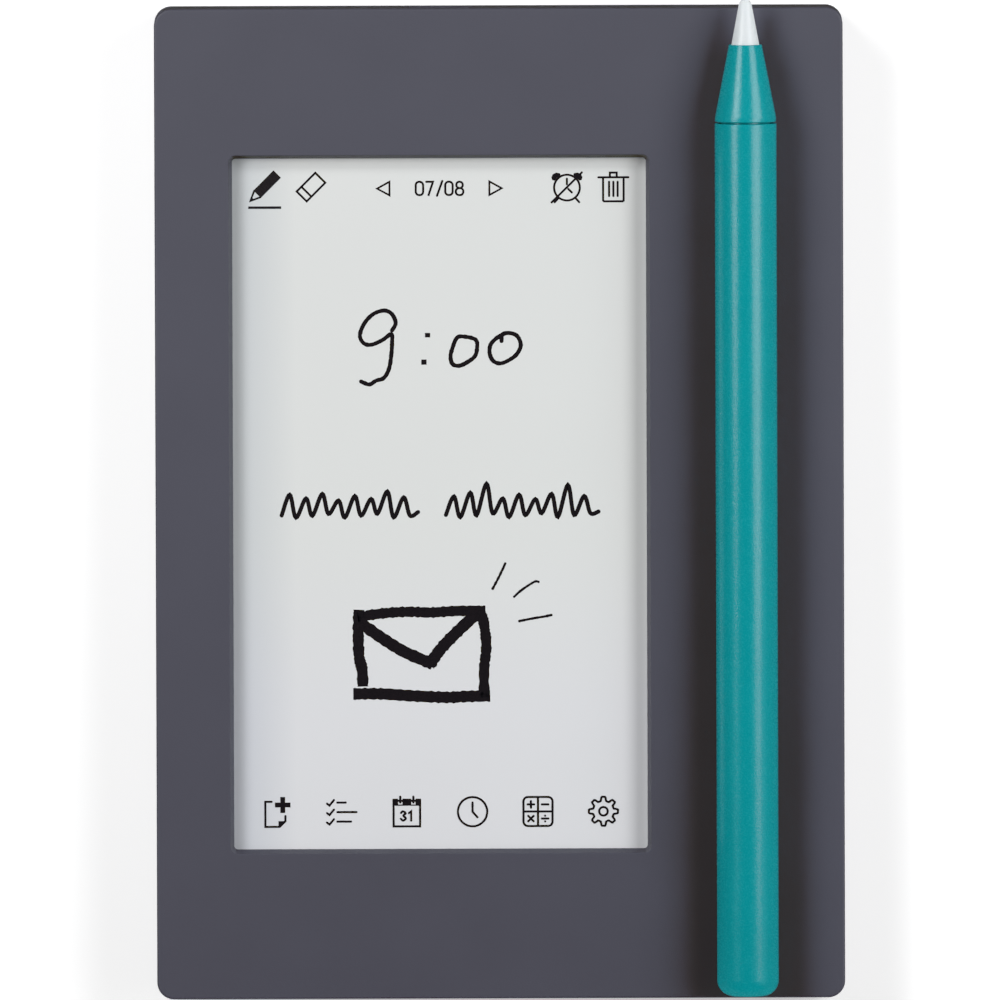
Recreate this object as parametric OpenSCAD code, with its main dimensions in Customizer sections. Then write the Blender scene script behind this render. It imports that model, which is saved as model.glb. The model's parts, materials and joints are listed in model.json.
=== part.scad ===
// Electronic-paper pocket notepad with a magnetically held stylus lying on its face.
// Millimetres. X runs across the face, Y towards the nib, Z out of the screen.
// The origin is on the resting plane, under the middle of the whole object.

/* [Body] */
// Width of the body
body_w = 93; // [92:0.5:98]
// Height of the body, along the stylus
body_h = 134; // [134:0.1:136]
// Thickness of the body without its feet
body_t = 10.9; // [10.9:0.1:11.5]
// Radius of the outline's corners
corner_r = 2.3; // [2:0.1:3]
// Radius along the front edge
front_edge_r = 0.3; // [0.2:0.1:0.8]
// Radius along the rear edge
rear_edge_r = 1.7; // [1:0.1:1.8]
// Thickness of the side walls
wall_t = 1.6; // [1.4:0.1:1.6]
// Thickness of the bezel's front plate
face_t = 2; // [1.5:0.1:2]
// Thickness of the rear cover's floor
floor_t = 1.6; // [1.6:0.1:1.8]

/* [Screen] */
// Width of the window
window_w = 55.9; // [54:0.1:56]
// Height of the window
window_h = 93.5; // [90:0.1:94]
// Window centre, right of the body's centre
window_x = -8.08; // [-8.5:0.01:-7.5]
// Window centre, above the body's centre
window_y = -0.06; // [-0.5:0.01:0.5]
// How much wider the window is at the face, on each side
window_slope = 0.5; // [0.3:0.1:0.8]
// Corner radius of the window
window_r = 0.5; // [0.4:0.1:1]

/* [Stylus] */
// Length of the stylus with its nib
stylus_l = 134.8; // [134:0.1:136]
// Diameter of the barrel
stylus_d = 8.3; // [8.2:0.05:8.6]
// Stylus axis, right of the body's centre
stylus_x = 33.33; // [33:0.01:33.6]
// How far the nib reaches past the body's end
nib_overhang = 1.35; // [0.5:0.05:1.6]
// Length of the nib outside its cone
nib_out = 6.17; // [5:0.01:7]
// Diameter of the nib where it leaves the cone
nib_d = 3.76; // [3.6:0.02:3.8]
// Radius of the nib's round tip
nib_tip_r = 0.9; // [0.6:0.02:1]
// Length of the tapered front section
cone_l = 9.8; // [9:0.1:10.5]
// Diameter of the tapered section's front end
cone_front_d = 4.4; // [4.4:0.05:4.6]
// Radius round the closed end of the barrel
barrel_end_r = 2.2; // [1:0.1:2.6]

/* [Travel] */
// How far the power button travels
power_travel = 0.3; // [0.2:0.05:0.35]
// How far the reset button travels
reset_travel = 0.25; // [0.15:0.05:0.25]
// How far the nib travels
nib_travel = 0.3; // [0.2:0.05:0.35]

/* [Hidden] */
$fn = 64;
eps = 0.01;

// Heights above the resting plane
foot_proud = 0.8;
rear_z = foot_proud;
face_z = rear_z + body_t;
floor_z = rear_z + floor_t;
split_z = rear_z + 3.4;
split_gap = 0.15;
plate_z = face_z - face_t;

// Display stack, from the bezel's plate downwards
gasket_t = 0.9;
film_t = 0.2;
panel_t = 0.6;
digitizer_t = 0.4;
shield_t = 0.1;
chassis_t = 0.8;
screen_z = plate_z - gasket_t;
panel_top_z = screen_z - film_t;
panel_z = panel_top_z - panel_t;
digitizer_z = panel_z - digitizer_t;
shield_z = digitizer_z - shield_t;
chassis_z = shield_z - chassis_t;
panel_w = 60;
panel_h = 101;
panel_y = window_y + 1.1;
digitizer_w = panel_w + 2;
digitizer_h = panel_h + 1;

// The body's centre, so that the whole object is centred over the origin
body_y = -nib_overhang / 2;

// Inside of the shells
cavity_w = body_w - 2 * wall_t;
cavity_h = body_h - 2 * wall_t;
cavity_r = corner_r - wall_t;
lip_t = 0.8;
lip_gap = 0.1;
lip_h = 1.1;

// Corner fastening: boss in the bezel, post in the rear cover, insert and screw
boss_x = body_w / 2 - 5.3;
boss_y = body_h / 2 - 5.3;
boss_r = 2.6;
boss_z = rear_z + 2.9;
insert_r = 1.6;
insert_l = 4;
insert_z = boss_z + 0.2;
case_screw_r = 0.95;
case_head_r = 1.8;
case_head_h = 1.1;
case_seat_z = rear_z + 1.4;
case_screw_l = 6;

// Chassis fastening, under the bezel
chassis_boss_r = 1.7;
chassis_boss_y = 30;
chassis_left_x = -body_w / 2 + 4.2;
chassis_right_x = window_x + digitizer_w / 2 + 3.4;
chassis_screw_r = 0.65;
chassis_head_r = 1.3;
chassis_min_x = -cavity_w / 2 + 0.6;
chassis_max_x = chassis_right_x + 2.7;
chassis_min_y = -cavity_h / 2 + 0.9;
chassis_max_y = panel_y + digitizer_h / 2 + 4.7;
rim_t = 0.8;
rim_gap = 0.2;

// Circuit board
board_t = 0.8;
board_gap = 1.1;
board_top_z = chassis_z - board_gap;
board_z = board_top_z - board_t;
board_min_x = -38;
board_max_x = 22;
board_min_y = 24;
board_max_y = body_h / 2 - 3.8;
board_screw_xy = [[-34, 29], [17, 29], [-34, 54], [17.5, 54]];
board_screw_r = 0.65;
board_head_r = 1.2;
board_pillar_r = 1.6;

// Port and button in the wall at the nib's end
port_x = -8;
usb_w = 8.94;
usb_h = 3.16;
usb_t = 0.3;
usb_l = 7.3;
usb_mouth_y = body_h / 2 - 0.3;
port_z = board_top_z + usb_h / 2;
button_x = 12;
button_w = 9;
button_h = 2.6;
button_gap = 0.15;
button_face_y = body_h / 2 - 0.05;
flange_t = 0.8;
flange_y = body_h / 2 - wall_t - 0.2 - flange_t;
nub_l = 0.3;
switch_front_y = flange_y - nub_l - 1.1;
switch_depth = 2.4;
switch_plunger_l = 1.9;

// Reset switch, under a pinhole in the rear cover
reset_x = -25;
reset_y = 56;
reset_size = 3.2;
reset_h = 1.3;
reset_plunger_r = 0.75;
pinhole_r = 0.7;

// Battery, under the chassis
battery_w = 52;
battery_h = 63;
battery_t = 3.4;
battery_tape_t = 0.3;
battery_y = -18.5;
battery_z = chassis_z - battery_tape_t - battery_t;
lead_r = 0.5;
socket_x = window_x + 8;

// Buzzer on the rear cover
buzzer_x = stylus_x;
buzzer_y = 42;
buzzer_r = 6.5;
buzzer_h = 2.6;
buzzer_lead_w = 0.8;
buzzer_lead_t = 0.35;
sound_hole_r = 0.5;
sound_ring_r = 2.4;
sound_holes = 6;

// Magnets that hold the stylus
magnet_y = [-34, 26];
magnet_l = 20;
magnet_w = 6;
magnet_t = 1.8;
holder_t = 0.8;

// Feet
foot_r = 4;
foot_x = body_w / 2 - 11;
foot_y = body_h / 2 - 12;
foot_pocket = 0.4;

// Stylus, measured along its axis from the closed end of the barrel
rest_gap = 0.05;
stylus_r = stylus_d / 2;
stylus_z = face_z + rest_gap + stylus_r;
stylus_end_y = body_h / 2 + nib_overhang - stylus_l;
seam_gap = 0.2;
collar_l = 0.6;
collar_r = stylus_r - 0.05;
barrel_l = stylus_l - nib_out - cone_l - collar_l - seam_gap;
barrel_bore_r = 3.4;
barrel_floor = 1.8;
collar_s = barrel_l + seam_gap;
cone_s = collar_s + collar_l;
cone_end_s = cone_s + cone_l;
spigot_l = 5.2;
spigot_r = barrel_bore_r - 0.05;
coil_bore_r = 2.4;
coil_bore_end_s = cone_end_s - 5.66;
nib_bore_r = nib_d / 2 + 0.06;
nib_shoulder_s = cone_end_s - 3.56;
stem_r = 0.9;
stem_s = barrel_l - 9;
core_r = 1.6;
core_bore_r = 1.05;
core_s = barrel_l - 4.7;
core_l = 9.2;
coil_r = 2.3;
coil_l = 8.2;
socket_r = 1.5;
socket_l = 3;
sensor_r = 2.9;
sensor_l = 9;
sensor_s = stem_s - 6;
sensor_bore_r = 1.7;
sensor_bore_s = stem_s - 1.4;
frame_r = 3.3;
frame_s = 4;
frame_end_s = sensor_s - 0.2;
pen_board_w = 5;
pen_board_l = 28;
pen_board_t = 0.8;
pen_board_s = 48;
pen_board_z = 1;
pen_magnet_l = 18;
pen_magnet_w = 3;
pen_magnet_t = 1.5;
pen_magnet_z = -3;

// Colours
bezel_grey = [0.33, 0.33, 0.37];
cover_grey = [0.29, 0.29, 0.33];
paper_white = [0.87, 0.88, 0.87];
stylus_teal = [0.05, 0.55, 0.57];
nib_white = [0.87, 0.89, 0.9];
rubber_grey = [0.16, 0.16, 0.17];
board_green = [0.08, 0.3, 0.2];
polyimide = [0.72, 0.42, 0.12];
chip_black = [0.1, 0.1, 0.11];
steel = [0.7, 0.71, 0.73];
nickel = [0.62, 0.61, 0.58];
copper = [0.72, 0.4, 0.22];
brass = [0.78, 0.62, 0.3];
connector_cream = [0.88, 0.84, 0.74];

// --- shared shapes -------------------------------------------------------------------------

// A quarter round as profile points: insets shrink from r to 0 while z climbs from z0 by r.
function rising_round(r, z0, steps = 6) =
    [for (i = [0 : steps]) let (a = 90 * i / steps) [r * (1 - sin(a)), z0 + r * (1 - cos(a))]];

// The same round at a top edge: insets grow from 0 to r while z climbs to z1.
function closing_round(r, z1, steps = 6) =
    [for (i = [0 : steps]) let (a = 90 * i / steps) [r * (1 - cos(a)), z1 - r + r * sin(a)]];

// Slab with rounded corners whose sides follow [inset, z] points, given from bottom to top.
module contour_slab(w, h, r, side) {
    x0 = w / 2 - r;
    y0 = h / 2 - r;
    z0 = side[0][1];
    z1 = side[len(side) - 1][1];
    section = concat([[0, z0]], [for (p = side) [r - p[0], p[1]]], [[0, z1]]);
    translate([-x0, -y0, z0]) cube([2 * x0, 2 * y0, z1 - z0]);
    for (sx = [0, 1], sy = [0, 1])
        mirror([sx, 0, 0]) mirror([0, sy, 0])
            translate([x0, y0, 0]) rotate_extrude(angle = 90) polygon(section);
    for (sx = [0, 1])
        mirror([sx, 0, 0])
            translate([x0, y0, 0]) rotate([90, 0, 0]) linear_extrude(2 * y0) polygon(section);
    for (sy = [0, 1])
        mirror([0, sy, 0])
            translate([-x0, y0, 0]) rotate([90, 0, 90]) linear_extrude(2 * x0) polygon(section);
}

module round_rect(w, h, r) {
    square([w, h - 2 * r], center = true);
    square([w - 2 * r, h], center = true);
    for (x = [-1, 1], y = [-1, 1])
        translate([x * (w / 2 - r), y * (h / 2 - r)]) circle(r);
}

module round_box(w, h, r, z0, z1) {
    translate([0, 0, z0]) linear_extrude(z1 - z0) round_rect(w, h, r);
}

// Rounded bar along Y: its section is w wide and h high with round corners.
module bar_y(w, h, r, y0, y1, z) {
    translate([0, y1, z]) rotate([90, 0, 0]) linear_extrude(y1 - y0) round_rect(w, h, r);
}

module block(x0, x1, y0, y1, z0, z1) {
    translate([x0, y0, z0]) cube([x1 - x0, y1 - y0, z1 - z0]);
}

module at_corners(x, y) {
    for (sx = [-1, 1], sy = [-1, 1]) translate([sx * x, sy * y, 0]) children();
}

module rod(x, y, r, z0, z1) {
    translate([x, y, z0]) cylinder(r = r, h = z1 - z0);
}

// Ribbon: a path of [y, z] points with a thickness, extruded across X.
module ribbon(path, t, x0, x1) {
    n = len(path);
    function heading(i) =
        let (a = path[max(i - 1, 0)], b = path[min(i + 1, n - 1)], d = b - a) d / norm(d);
    function side_point(i, s) = path[i] + s * t / 2 * [-heading(i)[1], heading(i)[0]];
    outline = concat([for (i = [0 : n - 1]) side_point(i, 1)],
                     [for (i = [n - 1 : -1 : 0]) side_point(i, -1)]);
    translate([x0, 0, 0]) rotate([90, 0, 90]) linear_extrude(x1 - x0) polygon(outline);
}

// Round wire through points, with a slightly proud ball at each bend.
module wire(points, r) {
    for (i = [0 : len(points) - 2]) {
        d = points[i + 1] - points[i];
        translate(points[i])
            rotate([0, acos(d[2] / norm(d)), atan2(d[1], d[0])])
                cylinder(r = r, h = norm(d), $fn = 24);
    }
    for (i = [1 : len(points) - 2]) translate(points[i]) sphere(1.08 * r, $fn = 24);
}

// Everything in the body is drawn about the body's own centre.
module in_body() {
    translate([0, body_y, 0]) children();
}

// Puts a shape drawn up Z on the stylus axis, s being the distance from the barrel's closed end.
module on_stylus(s = 0) {
    translate([stylus_x, stylus_end_y + s, stylus_z]) rotate([-90, 0, 0]) children();
}

module stylus_turned(outline) {
    on_stylus() rotate_extrude() polygon(outline);
}

module at_port() {
    translate([port_x, 0, 0]) children();
}

// --- shells --------------------------------------------------------------------------------

module window_cut() {
    r = window_r + window_slope;
    sides = [[window_slope, plate_z - 1], [window_slope, plate_z + 0.15], [-eps, face_z + eps]];
    translate([window_x, window_y, 0])
        contour_slab(window_w + 2 * window_slope, window_h + 2 * window_slope, r, sides);
}

module front_bezel() {
    color(bezel_grey) in_body() difference() {
        union() {
            difference() {
                contour_slab(body_w, body_h, corner_r,
                    concat([[0, split_z + split_gap / 2]],
                           closing_round(front_edge_r, face_z)));
                round_box(cavity_w, cavity_h, cavity_r, split_z - 1, plate_z);
            }
            at_corners(boss_x, boss_y) rod(0, 0, boss_r, boss_z, plate_z + eps);
            for (x = [chassis_left_x, chassis_right_x], y = [-1, 1])
                rod(x, y * chassis_boss_y, chassis_boss_r, chassis_z + chassis_t, plate_z + eps);
        }
        window_cut();
        at_corners(boss_x, boss_y) {
            rod(0, 0, insert_r, boss_z - 1, insert_z + insert_l);
            rod(0, 0, 1.1, boss_z - 1, case_seat_z + case_screw_l + 0.4);
        }
        for (x = [chassis_left_x, chassis_right_x], y = [-1, 1])
            rod(x, y * chassis_boss_y, 0.7, chassis_z, plate_z - 0.3);
        at_port() bar_y(usb_w + 0.6, usb_h + 0.6, 1.8, body_h / 2 - 3, body_h / 2 + 1, port_z);
        translate([button_x, 0, 0])
            bar_y(button_w + 2 * button_gap, button_h + 2 * button_gap, 1.4,
                  body_h / 2 - 3, body_h / 2 + 1, port_z);
    }
}

module rear_cover() {
    lip_w = cavity_w - 2 * lip_gap;
    lip_len = cavity_h - 2 * lip_gap;
    color(cover_grey) in_body() difference() {
        union() {
            difference() {
                contour_slab(body_w, body_h, corner_r,
                    concat(rising_round(rear_edge_r, rear_z), [[0, split_z - split_gap / 2]]));
                round_box(cavity_w - 2 * lip_t - 2 * lip_gap, cavity_h - 2 * lip_t - 2 * lip_gap,
                          cavity_r, floor_z, split_z + 1);
            }
            difference() {
                round_box(lip_w, lip_len, cavity_r, split_z - 1, split_z + lip_h);
                round_box(lip_w - 2 * lip_t, lip_len - 2 * lip_t, cavity_r,
                          split_z - 2, split_z + 2);
                block(port_x - 8, button_x + 9, body_h / 2 - 4, body_h / 2,
                      split_z, split_z + 2);
            }
            at_corners(boss_x, boss_y) rod(0, 0, boss_r, floor_z - eps, boss_z);
        }
        at_corners(boss_x, boss_y) {
            rod(0, 0, case_head_r + 0.3, rear_z - 1, case_seat_z);
            rod(0, 0, 1.2, rear_z, boss_z + 1);
        }
        at_corners(foot_x, foot_y) rod(0, 0, foot_r + 0.1, rear_z - 1, rear_z + foot_pocket);
        rod(reset_x, reset_y, pinhole_r, rear_z - 1, floor_z + 1);
        rod(buzzer_x, buzzer_y, sound_hole_r, rear_z - 1, floor_z + 1);
        for (i = [0 : sound_holes - 1])
            rod(buzzer_x + sound_ring_r * cos(60 * i), buzzer_y + sound_ring_r * sin(60 * i),
                sound_hole_r, rear_z - 1, floor_z + 1);
    }
}

module rubber_feet() {
    edge = 0.4;
    color(rubber_grey) in_body() at_corners(foot_x, foot_y)
        rotate_extrude() polygon(concat(
            [[0, 0]],
            [for (i = [0 : 4]) let (a = 90 * i / 4)
                [foot_r - edge + edge * sin(a), edge - edge * cos(a)]],
            [[foot_r, rear_z + foot_pocket], [0, rear_z + foot_pocket]]));
}

// --- fasteners -----------------------------------------------------------------------------

// Cross-headed screw standing on its head: the seat is at z, the shank goes up.
module screw(head_r, head_h, shank_r, shank_l, slot_w) {
    difference() {
        union() {
            translate([0, 0, -head_h]) cylinder(r = head_r, h = head_h);
            cylinder(r = shank_r, h = shank_l);
        }
        for (turn = [0, 90]) rotate([0, 0, turn])
            translate([0, 0, -head_h])
                cube([1.2 * head_r, slot_w, head_h], center = true);
    }
}

module case_screws() {
    color(steel) in_body() at_corners(boss_x, boss_y) translate([0, 0, case_seat_z])
        screw(case_head_r, case_head_h, case_screw_r, case_screw_l, 0.5);
}

module thread_inserts() {
    color(brass) in_body() at_corners(boss_x, boss_y) difference() {
        rod(0, 0, insert_r, insert_z, insert_z + insert_l);
        rod(0, 0, case_screw_r + 0.05, insert_z - 1, insert_z + insert_l + 1);
    }
}

module chassis_screws() {
    color(steel) in_body()
        for (x = [chassis_left_x, chassis_right_x], y = [-1, 1])
            translate([x, y * chassis_boss_y, chassis_z])
                screw(chassis_head_r, 0.7, chassis_screw_r, 2.6, 0.35);
}

module board_screws() {
    color(steel) in_body() for (p = board_screw_xy)
        translate([p[0], p[1], board_z])
            screw(board_head_r, 0.6, board_screw_r, board_t + board_gap + 0.5, 0.35);
}

// --- display stack -------------------------------------------------------------------------

module window_gasket() {
    color(chip_black) in_body() difference() {
        translate([window_x, panel_y, 0])
            round_box(panel_w - 0.6, panel_h - 0.6, 0.8, screen_z, plate_z);
        translate([window_x, window_y, 0])
            round_box(window_w + 1, window_h + 1, 0.8, screen_z - 1, plate_z + 1);
    }
}

module screen_film() {
    color(paper_white) in_body() translate([window_x, panel_y, 0])
        round_box(panel_w, panel_h, 0.8, panel_top_z, screen_z);
}

module epaper_panel() {
    color([0.75, 0.77, 0.78]) in_body() translate([window_x, panel_y, 0])
        round_box(panel_w, panel_h, 0.4, panel_z, panel_top_z);
}

flex_reach_y = panel_y + panel_h / 2 + 2.6;
connector_top_z = board_top_z + 0.5;

// Flex that leaves the stack's edge at edge_y and z, folds down and runs back to its connector.
module folded_flex(edge_y, z, x0, x1, back_y) {
    drop_r = (z - connector_top_z) / 2;
    bend = [for (i = [0 : 6]) let (a = 90 - 30 * i)
        [flex_reach_y - drop_r + drop_r * cos(a), z - drop_r + drop_r * sin(a)]];
    ribbon(concat([[edge_y, z]], bend, [[back_y, connector_top_z]]), 0.12, x0, x1);
}

module panel_flex() {
    color(polyimide) in_body()
        folded_flex(panel_y + panel_h / 2, panel_z + panel_t / 2, window_x - 20, window_x + 4, 48.6);
}

module digitizer_board() {
    color(board_green) in_body() translate([window_x, panel_y, 0])
        round_box(digitizer_w, digitizer_h, 0.6, digitizer_z, panel_z);
}

module digitizer_flex() {
    color(polyimide) in_body()
        folded_flex(panel_y + digitizer_h / 2, digitizer_z + digitizer_t / 2,
                    window_x + 9, window_x + 19, 48.6);
}

module digitizer_shield() {
    color(steel) in_body() translate([window_x, panel_y, 0])
        round_box(digitizer_w - 1, digitizer_h - 1, 0.6, shield_z, digitizer_z);
}

module chassis_plate() {
    top_z = chassis_z + chassis_t;
    color([0.45, 0.46, 0.48]) in_body() difference() {
        union() {
            block(chassis_min_x, chassis_max_x, chassis_min_y, chassis_max_y, chassis_z, top_z);
            translate([window_x, panel_y, 0]) difference() {
                round_box(digitizer_w + 2 * (rim_gap + rim_t), digitizer_h + 2 * (rim_gap + rim_t),
                          1.2, chassis_z, screen_z - 0.1);
                round_box(digitizer_w + 2 * rim_gap, digitizer_h + 2 * rim_gap, 0.6,
                          chassis_z - 1, screen_z);
            }
            for (p = board_screw_xy) rod(p[0], p[1], board_pillar_r, board_top_z, chassis_z + eps);
        }
        // a notch for the corner boss, the flexes' slot, and the screw holes
        block(chassis_min_x - 1, boss_r + 0.5 - boss_x, chassis_min_y - 1, boss_r + 0.5 - boss_y,
              chassis_z - 1, top_z + 1);
        block(window_x - 21, window_x + 20, panel_y + digitizer_h / 2 - 0.4, flex_reach_y + 0.6,
              chassis_z - 1, screen_z);
        for (x = [chassis_left_x, chassis_right_x], y = [-1, 1])
            rod(x, y * chassis_boss_y, 0.8, chassis_z - 1, top_z + 1);
        for (p = board_screw_xy) rod(p[0], p[1], board_screw_r + 0.05, board_top_z - 1,
                                     chassis_z + 0.6);
    }
}

// --- circuit board -------------------------------------------------------------------------

module main_board() {
    color(board_green) in_body() difference() {
        block(board_min_x, board_max_x, board_min_y, board_max_y, board_z, board_top_z);
        for (p = board_screw_xy) rod(p[0], p[1], 0.9, board_z - 1, board_top_z + 1);
    }
}

// Chips hang under the board: [x, y, width, height, thickness].
chips = [[-13, 46, 9, 9, 0.9], [-3, 46, 6, 8, 0.8], [-22, 34, 4, 4, 0.8], [-30, 45, 5, 4, 0.9],
         [14, 44, 3.2, 1.5, 0.7]];
inductors = [[-26, 28, 3, 3, 1.2], [-19, 28, 3, 3, 1.2], [5, 56, 2.5, 2, 1]];
passive_rows = [[-34, 38, 5], [-16, 36, 6], [4, 36, 5], [8, 50, 4], [-20, 58, 5]];

module hung_blocks(list) {
    for (c = list)
        block(c[0] - c[2] / 2, c[0] + c[2] / 2, c[1] - c[3] / 2, c[1] + c[3] / 2,
              board_z - c[4], board_z);
}

module board_chips() {
    color(chip_black) in_body() hung_blocks(concat(chips, inductors));
}

module board_passives() {
    color(connector_cream) in_body() for (row = passive_rows, i = [0 : row[2] - 1])
        block(row[0] + 1.6 * i, row[0] + 1.6 * i + 0.6, row[1], row[1] + 1.1,
              board_z - 0.5, board_z);
}

module shield_can() {
    can_w = 20;
    can_h = 13;
    can_t = 0.25;
    color(steel) in_body() translate([-8.5, 46, 0]) difference() {
        round_box(can_w, can_h, 0.8, board_z - 1.5, board_z);
        round_box(can_w - 2 * can_t, can_h - 2 * can_t, 0.6, board_z - 1.5 + can_t, board_z + 1);
    }
}

module flex_connectors() {
    color(connector_cream) in_body() {
        block(window_x - 21, window_x + 5, 44.4, 48.6, board_top_z, board_top_z + 0.9);
        block(window_x + 8, window_x + 20, 44.4, 48.6, board_top_z, board_top_z + 0.9);
    }
}

module usb_c_shell() {
    color(nickel) in_body() at_port() difference() {
        bar_y(usb_w, usb_h, 1.28, usb_mouth_y - usb_l, usb_mouth_y, port_z);
        bar_y(usb_w - 2 * usb_t, usb_h - 2 * usb_t, 1, usb_mouth_y - usb_l - 1, usb_mouth_y + 1,
              port_z);
    }
}

module usb_c_tongue() {
    color(chip_black) in_body() at_port() {
        bar_y(usb_w - 2 * usb_t, usb_h - 2 * usb_t, 1, usb_mouth_y - usb_l,
              usb_mouth_y - usb_l + 2, port_z);
        bar_y(6.7, 0.7, 0.2, usb_mouth_y - usb_l + 2 - eps, usb_mouth_y - 0.9, port_z);
    }
}

// --- power button and reset button ---------------------------------------------------------

module power_button() {
    color(cover_grey) in_body() translate([button_x, 0, 0]) {
        bar_y(button_w, button_h, 1.25, flange_y, button_face_y, port_z);
        bar_y(button_w + 2, 3.4, 0.6, flange_y, flange_y + flange_t, port_z);
        bar_y(2.4, 1.6, 0.3, flange_y - nub_l, flange_y + eps, port_z);
    }
}

module power_switch() {
    color(chip_black) in_body() translate([button_x, 0, 0]) difference() {
        block(-2.3, 2.3, switch_front_y - switch_depth, switch_front_y, board_top_z, port_z + 1.2);
        bar_y(2, 1.4, 0.2, switch_front_y - switch_plunger_l + 0.6, switch_front_y + 1, port_z);
    }
}

module power_switch_plunger() {
    front = flange_y - nub_l;
    color(connector_cream) in_body() translate([button_x, 0, 0])
        bar_y(1.8, 1.2, 0.2, front - switch_plunger_l, front, port_z);
}

module reset_switch() {
    half = reset_size / 2;
    color(steel) in_body() difference() {
        block(reset_x - half, reset_x + half, reset_y - half, reset_y + half,
              board_z - reset_h, board_z);
        rod(reset_x, reset_y, reset_plunger_r + 0.1, board_z - reset_h - 1,
            board_z - reset_h + 0.8);
    }
}

module reset_plunger() {
    color(chip_black) in_body()
        rod(reset_x, reset_y, reset_plunger_r, board_z - reset_h - 0.5, board_z - reset_h + 0.4);
}

// --- battery, buzzer and magnets -----------------------------------------------------------

module battery_pack() {
    color([0.62, 0.63, 0.65]) in_body() translate([window_x, battery_y, 0])
        contour_slab(battery_w, battery_h, 2,
            concat(rising_round(1, battery_z, 4), closing_round(1, battery_z + battery_t, 4)));
}

pcm_y = battery_y + battery_h / 2;
pcm_z = battery_z + 1.3;

module battery_protection_board() {
    color(board_green) in_body() translate([window_x, 0, 0]) {
        block(-10, 10, pcm_y, pcm_y + 3.2, pcm_z, pcm_z + 0.8);
        for (x = [-6, -1, 3.5]) block(x, x + 2.4, pcm_y + 0.6, pcm_y + 2.4, pcm_z + 0.8 - eps, pcm_z + 1.6);
    }
}

module battery_tape() {
    color([0.2, 0.2, 0.2]) in_body() for (x = [-14, 14])
        block(window_x + x - 6, window_x + x + 6, battery_y - 26, battery_y + 26,
              chassis_z - battery_tape_t, chassis_z);
}

socket_y = 28;
socket_h = 1.9;

module battery_socket() {
    color(connector_cream) in_body() difference() {
        block(socket_x - 3, socket_x + 3, socket_y - 2, socket_y + 2, board_z - socket_h, board_z);
        block(socket_x - 2.5, socket_x + 2.5, socket_y - 3, socket_y + 1, board_z - socket_h + 0.4,
              board_z - 0.4);
    }
}

module battery_plug() {
    color([0.93, 0.93, 0.9]) in_body()
        block(socket_x - 2.3, socket_x + 2.3, socket_y - 3.4, socket_y + 0.9,
              board_z - socket_h + 0.45, board_z - 0.45);
}

module battery_leads() {
    plug_z = board_z - socket_h / 2;
    color([0.7, 0.1, 0.1]) in_body() for (side = [-1, 1])
        wire([[socket_x + side * 1.1, pcm_y + 3.2, pcm_z + 0.3],
              [socket_x + side * 1.1, pcm_y + 4.8, pcm_z + 0.3],
              [socket_x + side * 0.9, socket_y - 5.2, plug_z],
              [socket_x + side * 0.9, socket_y - 3.4, plug_z]], lead_r);
}

module buzzer() {
    color(chip_black) in_body() difference() {
        rod(buzzer_x, buzzer_y, buzzer_r, floor_z, floor_z + buzzer_h);
        rod(buzzer_x, buzzer_y, buzzer_r - 1.2, floor_z - 1, floor_z + 0.6);
    }
}

module buzzer_leads() {
    buzzer_end_z = floor_z + buzzer_h + buzzer_lead_t / 2;
    board_end_z = board_top_z + buzzer_lead_t / 2;
    path = [[board_max_x - 1.5, board_end_z], [board_max_x + 1.6, board_end_z],
            [buzzer_x - 6.8, buzzer_end_z], [buzzer_x - 4, buzzer_end_z]];
    color([0.15, 0.15, 0.16]) in_body() for (y = [buzzer_y - 1.2, buzzer_y + 1.2])
        rotate([0, 0, -90])
            ribbon(path, buzzer_lead_t, -y - buzzer_lead_w / 2, -y + buzzer_lead_w / 2);
}

module body_magnets() {
    color(nickel) in_body() for (y = magnet_y)
        block(stylus_x - magnet_w / 2, stylus_x + magnet_w / 2, y - magnet_l / 2, y + magnet_l / 2,
              plate_z - magnet_t, plate_z);
}

module magnet_holders() {
    z0 = plate_z - magnet_t - holder_t;
    color([0.2, 0.2, 0.21]) in_body() for (y = magnet_y)
        translate([stylus_x, y, 0]) difference() {
            union() {
                round_box(magnet_w + 2.2, magnet_l + 2.2, 0.6, z0, plate_z);
                round_box(magnet_w - 1, magnet_l + 7, 0.6, plate_z - 1, plate_z);
            }
            block(-magnet_w / 2 - 0.05, magnet_w / 2 + 0.05, -magnet_l / 2 - 0.05,
                  magnet_l / 2 + 0.05, plate_z - magnet_t, plate_z + 1);
        }
}

// --- stylus --------------------------------------------------------------------------------

module stylus_barrel() {
    end = [for (i = [0 : 8]) let (a = 90 * i / 8)
        [stylus_r - barrel_end_r + barrel_end_r * sin(a), barrel_end_r - barrel_end_r * cos(a)]];
    color(stylus_teal) in_body() stylus_turned(concat(
        [[0, 0]], end,
        [[stylus_r, barrel_l - 0.1], [stylus_r - 0.1, barrel_l], [barrel_bore_r, barrel_l],
         [barrel_bore_r, barrel_floor], [0, barrel_floor]]));
}

module stylus_cone() {
    color(stylus_teal) in_body() stylus_turned([
        [coil_bore_r, collar_s - spigot_l], [spigot_r, collar_s - spigot_l],
        [spigot_r, collar_s], [collar_r - 0.1, collar_s], [collar_r, collar_s + 0.1],
        [collar_r, cone_s], [cone_front_d / 2, cone_end_s], [nib_bore_r, cone_end_s],
        [nib_bore_r, coil_bore_end_s], [coil_bore_r, coil_bore_end_s]]);
}

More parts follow.
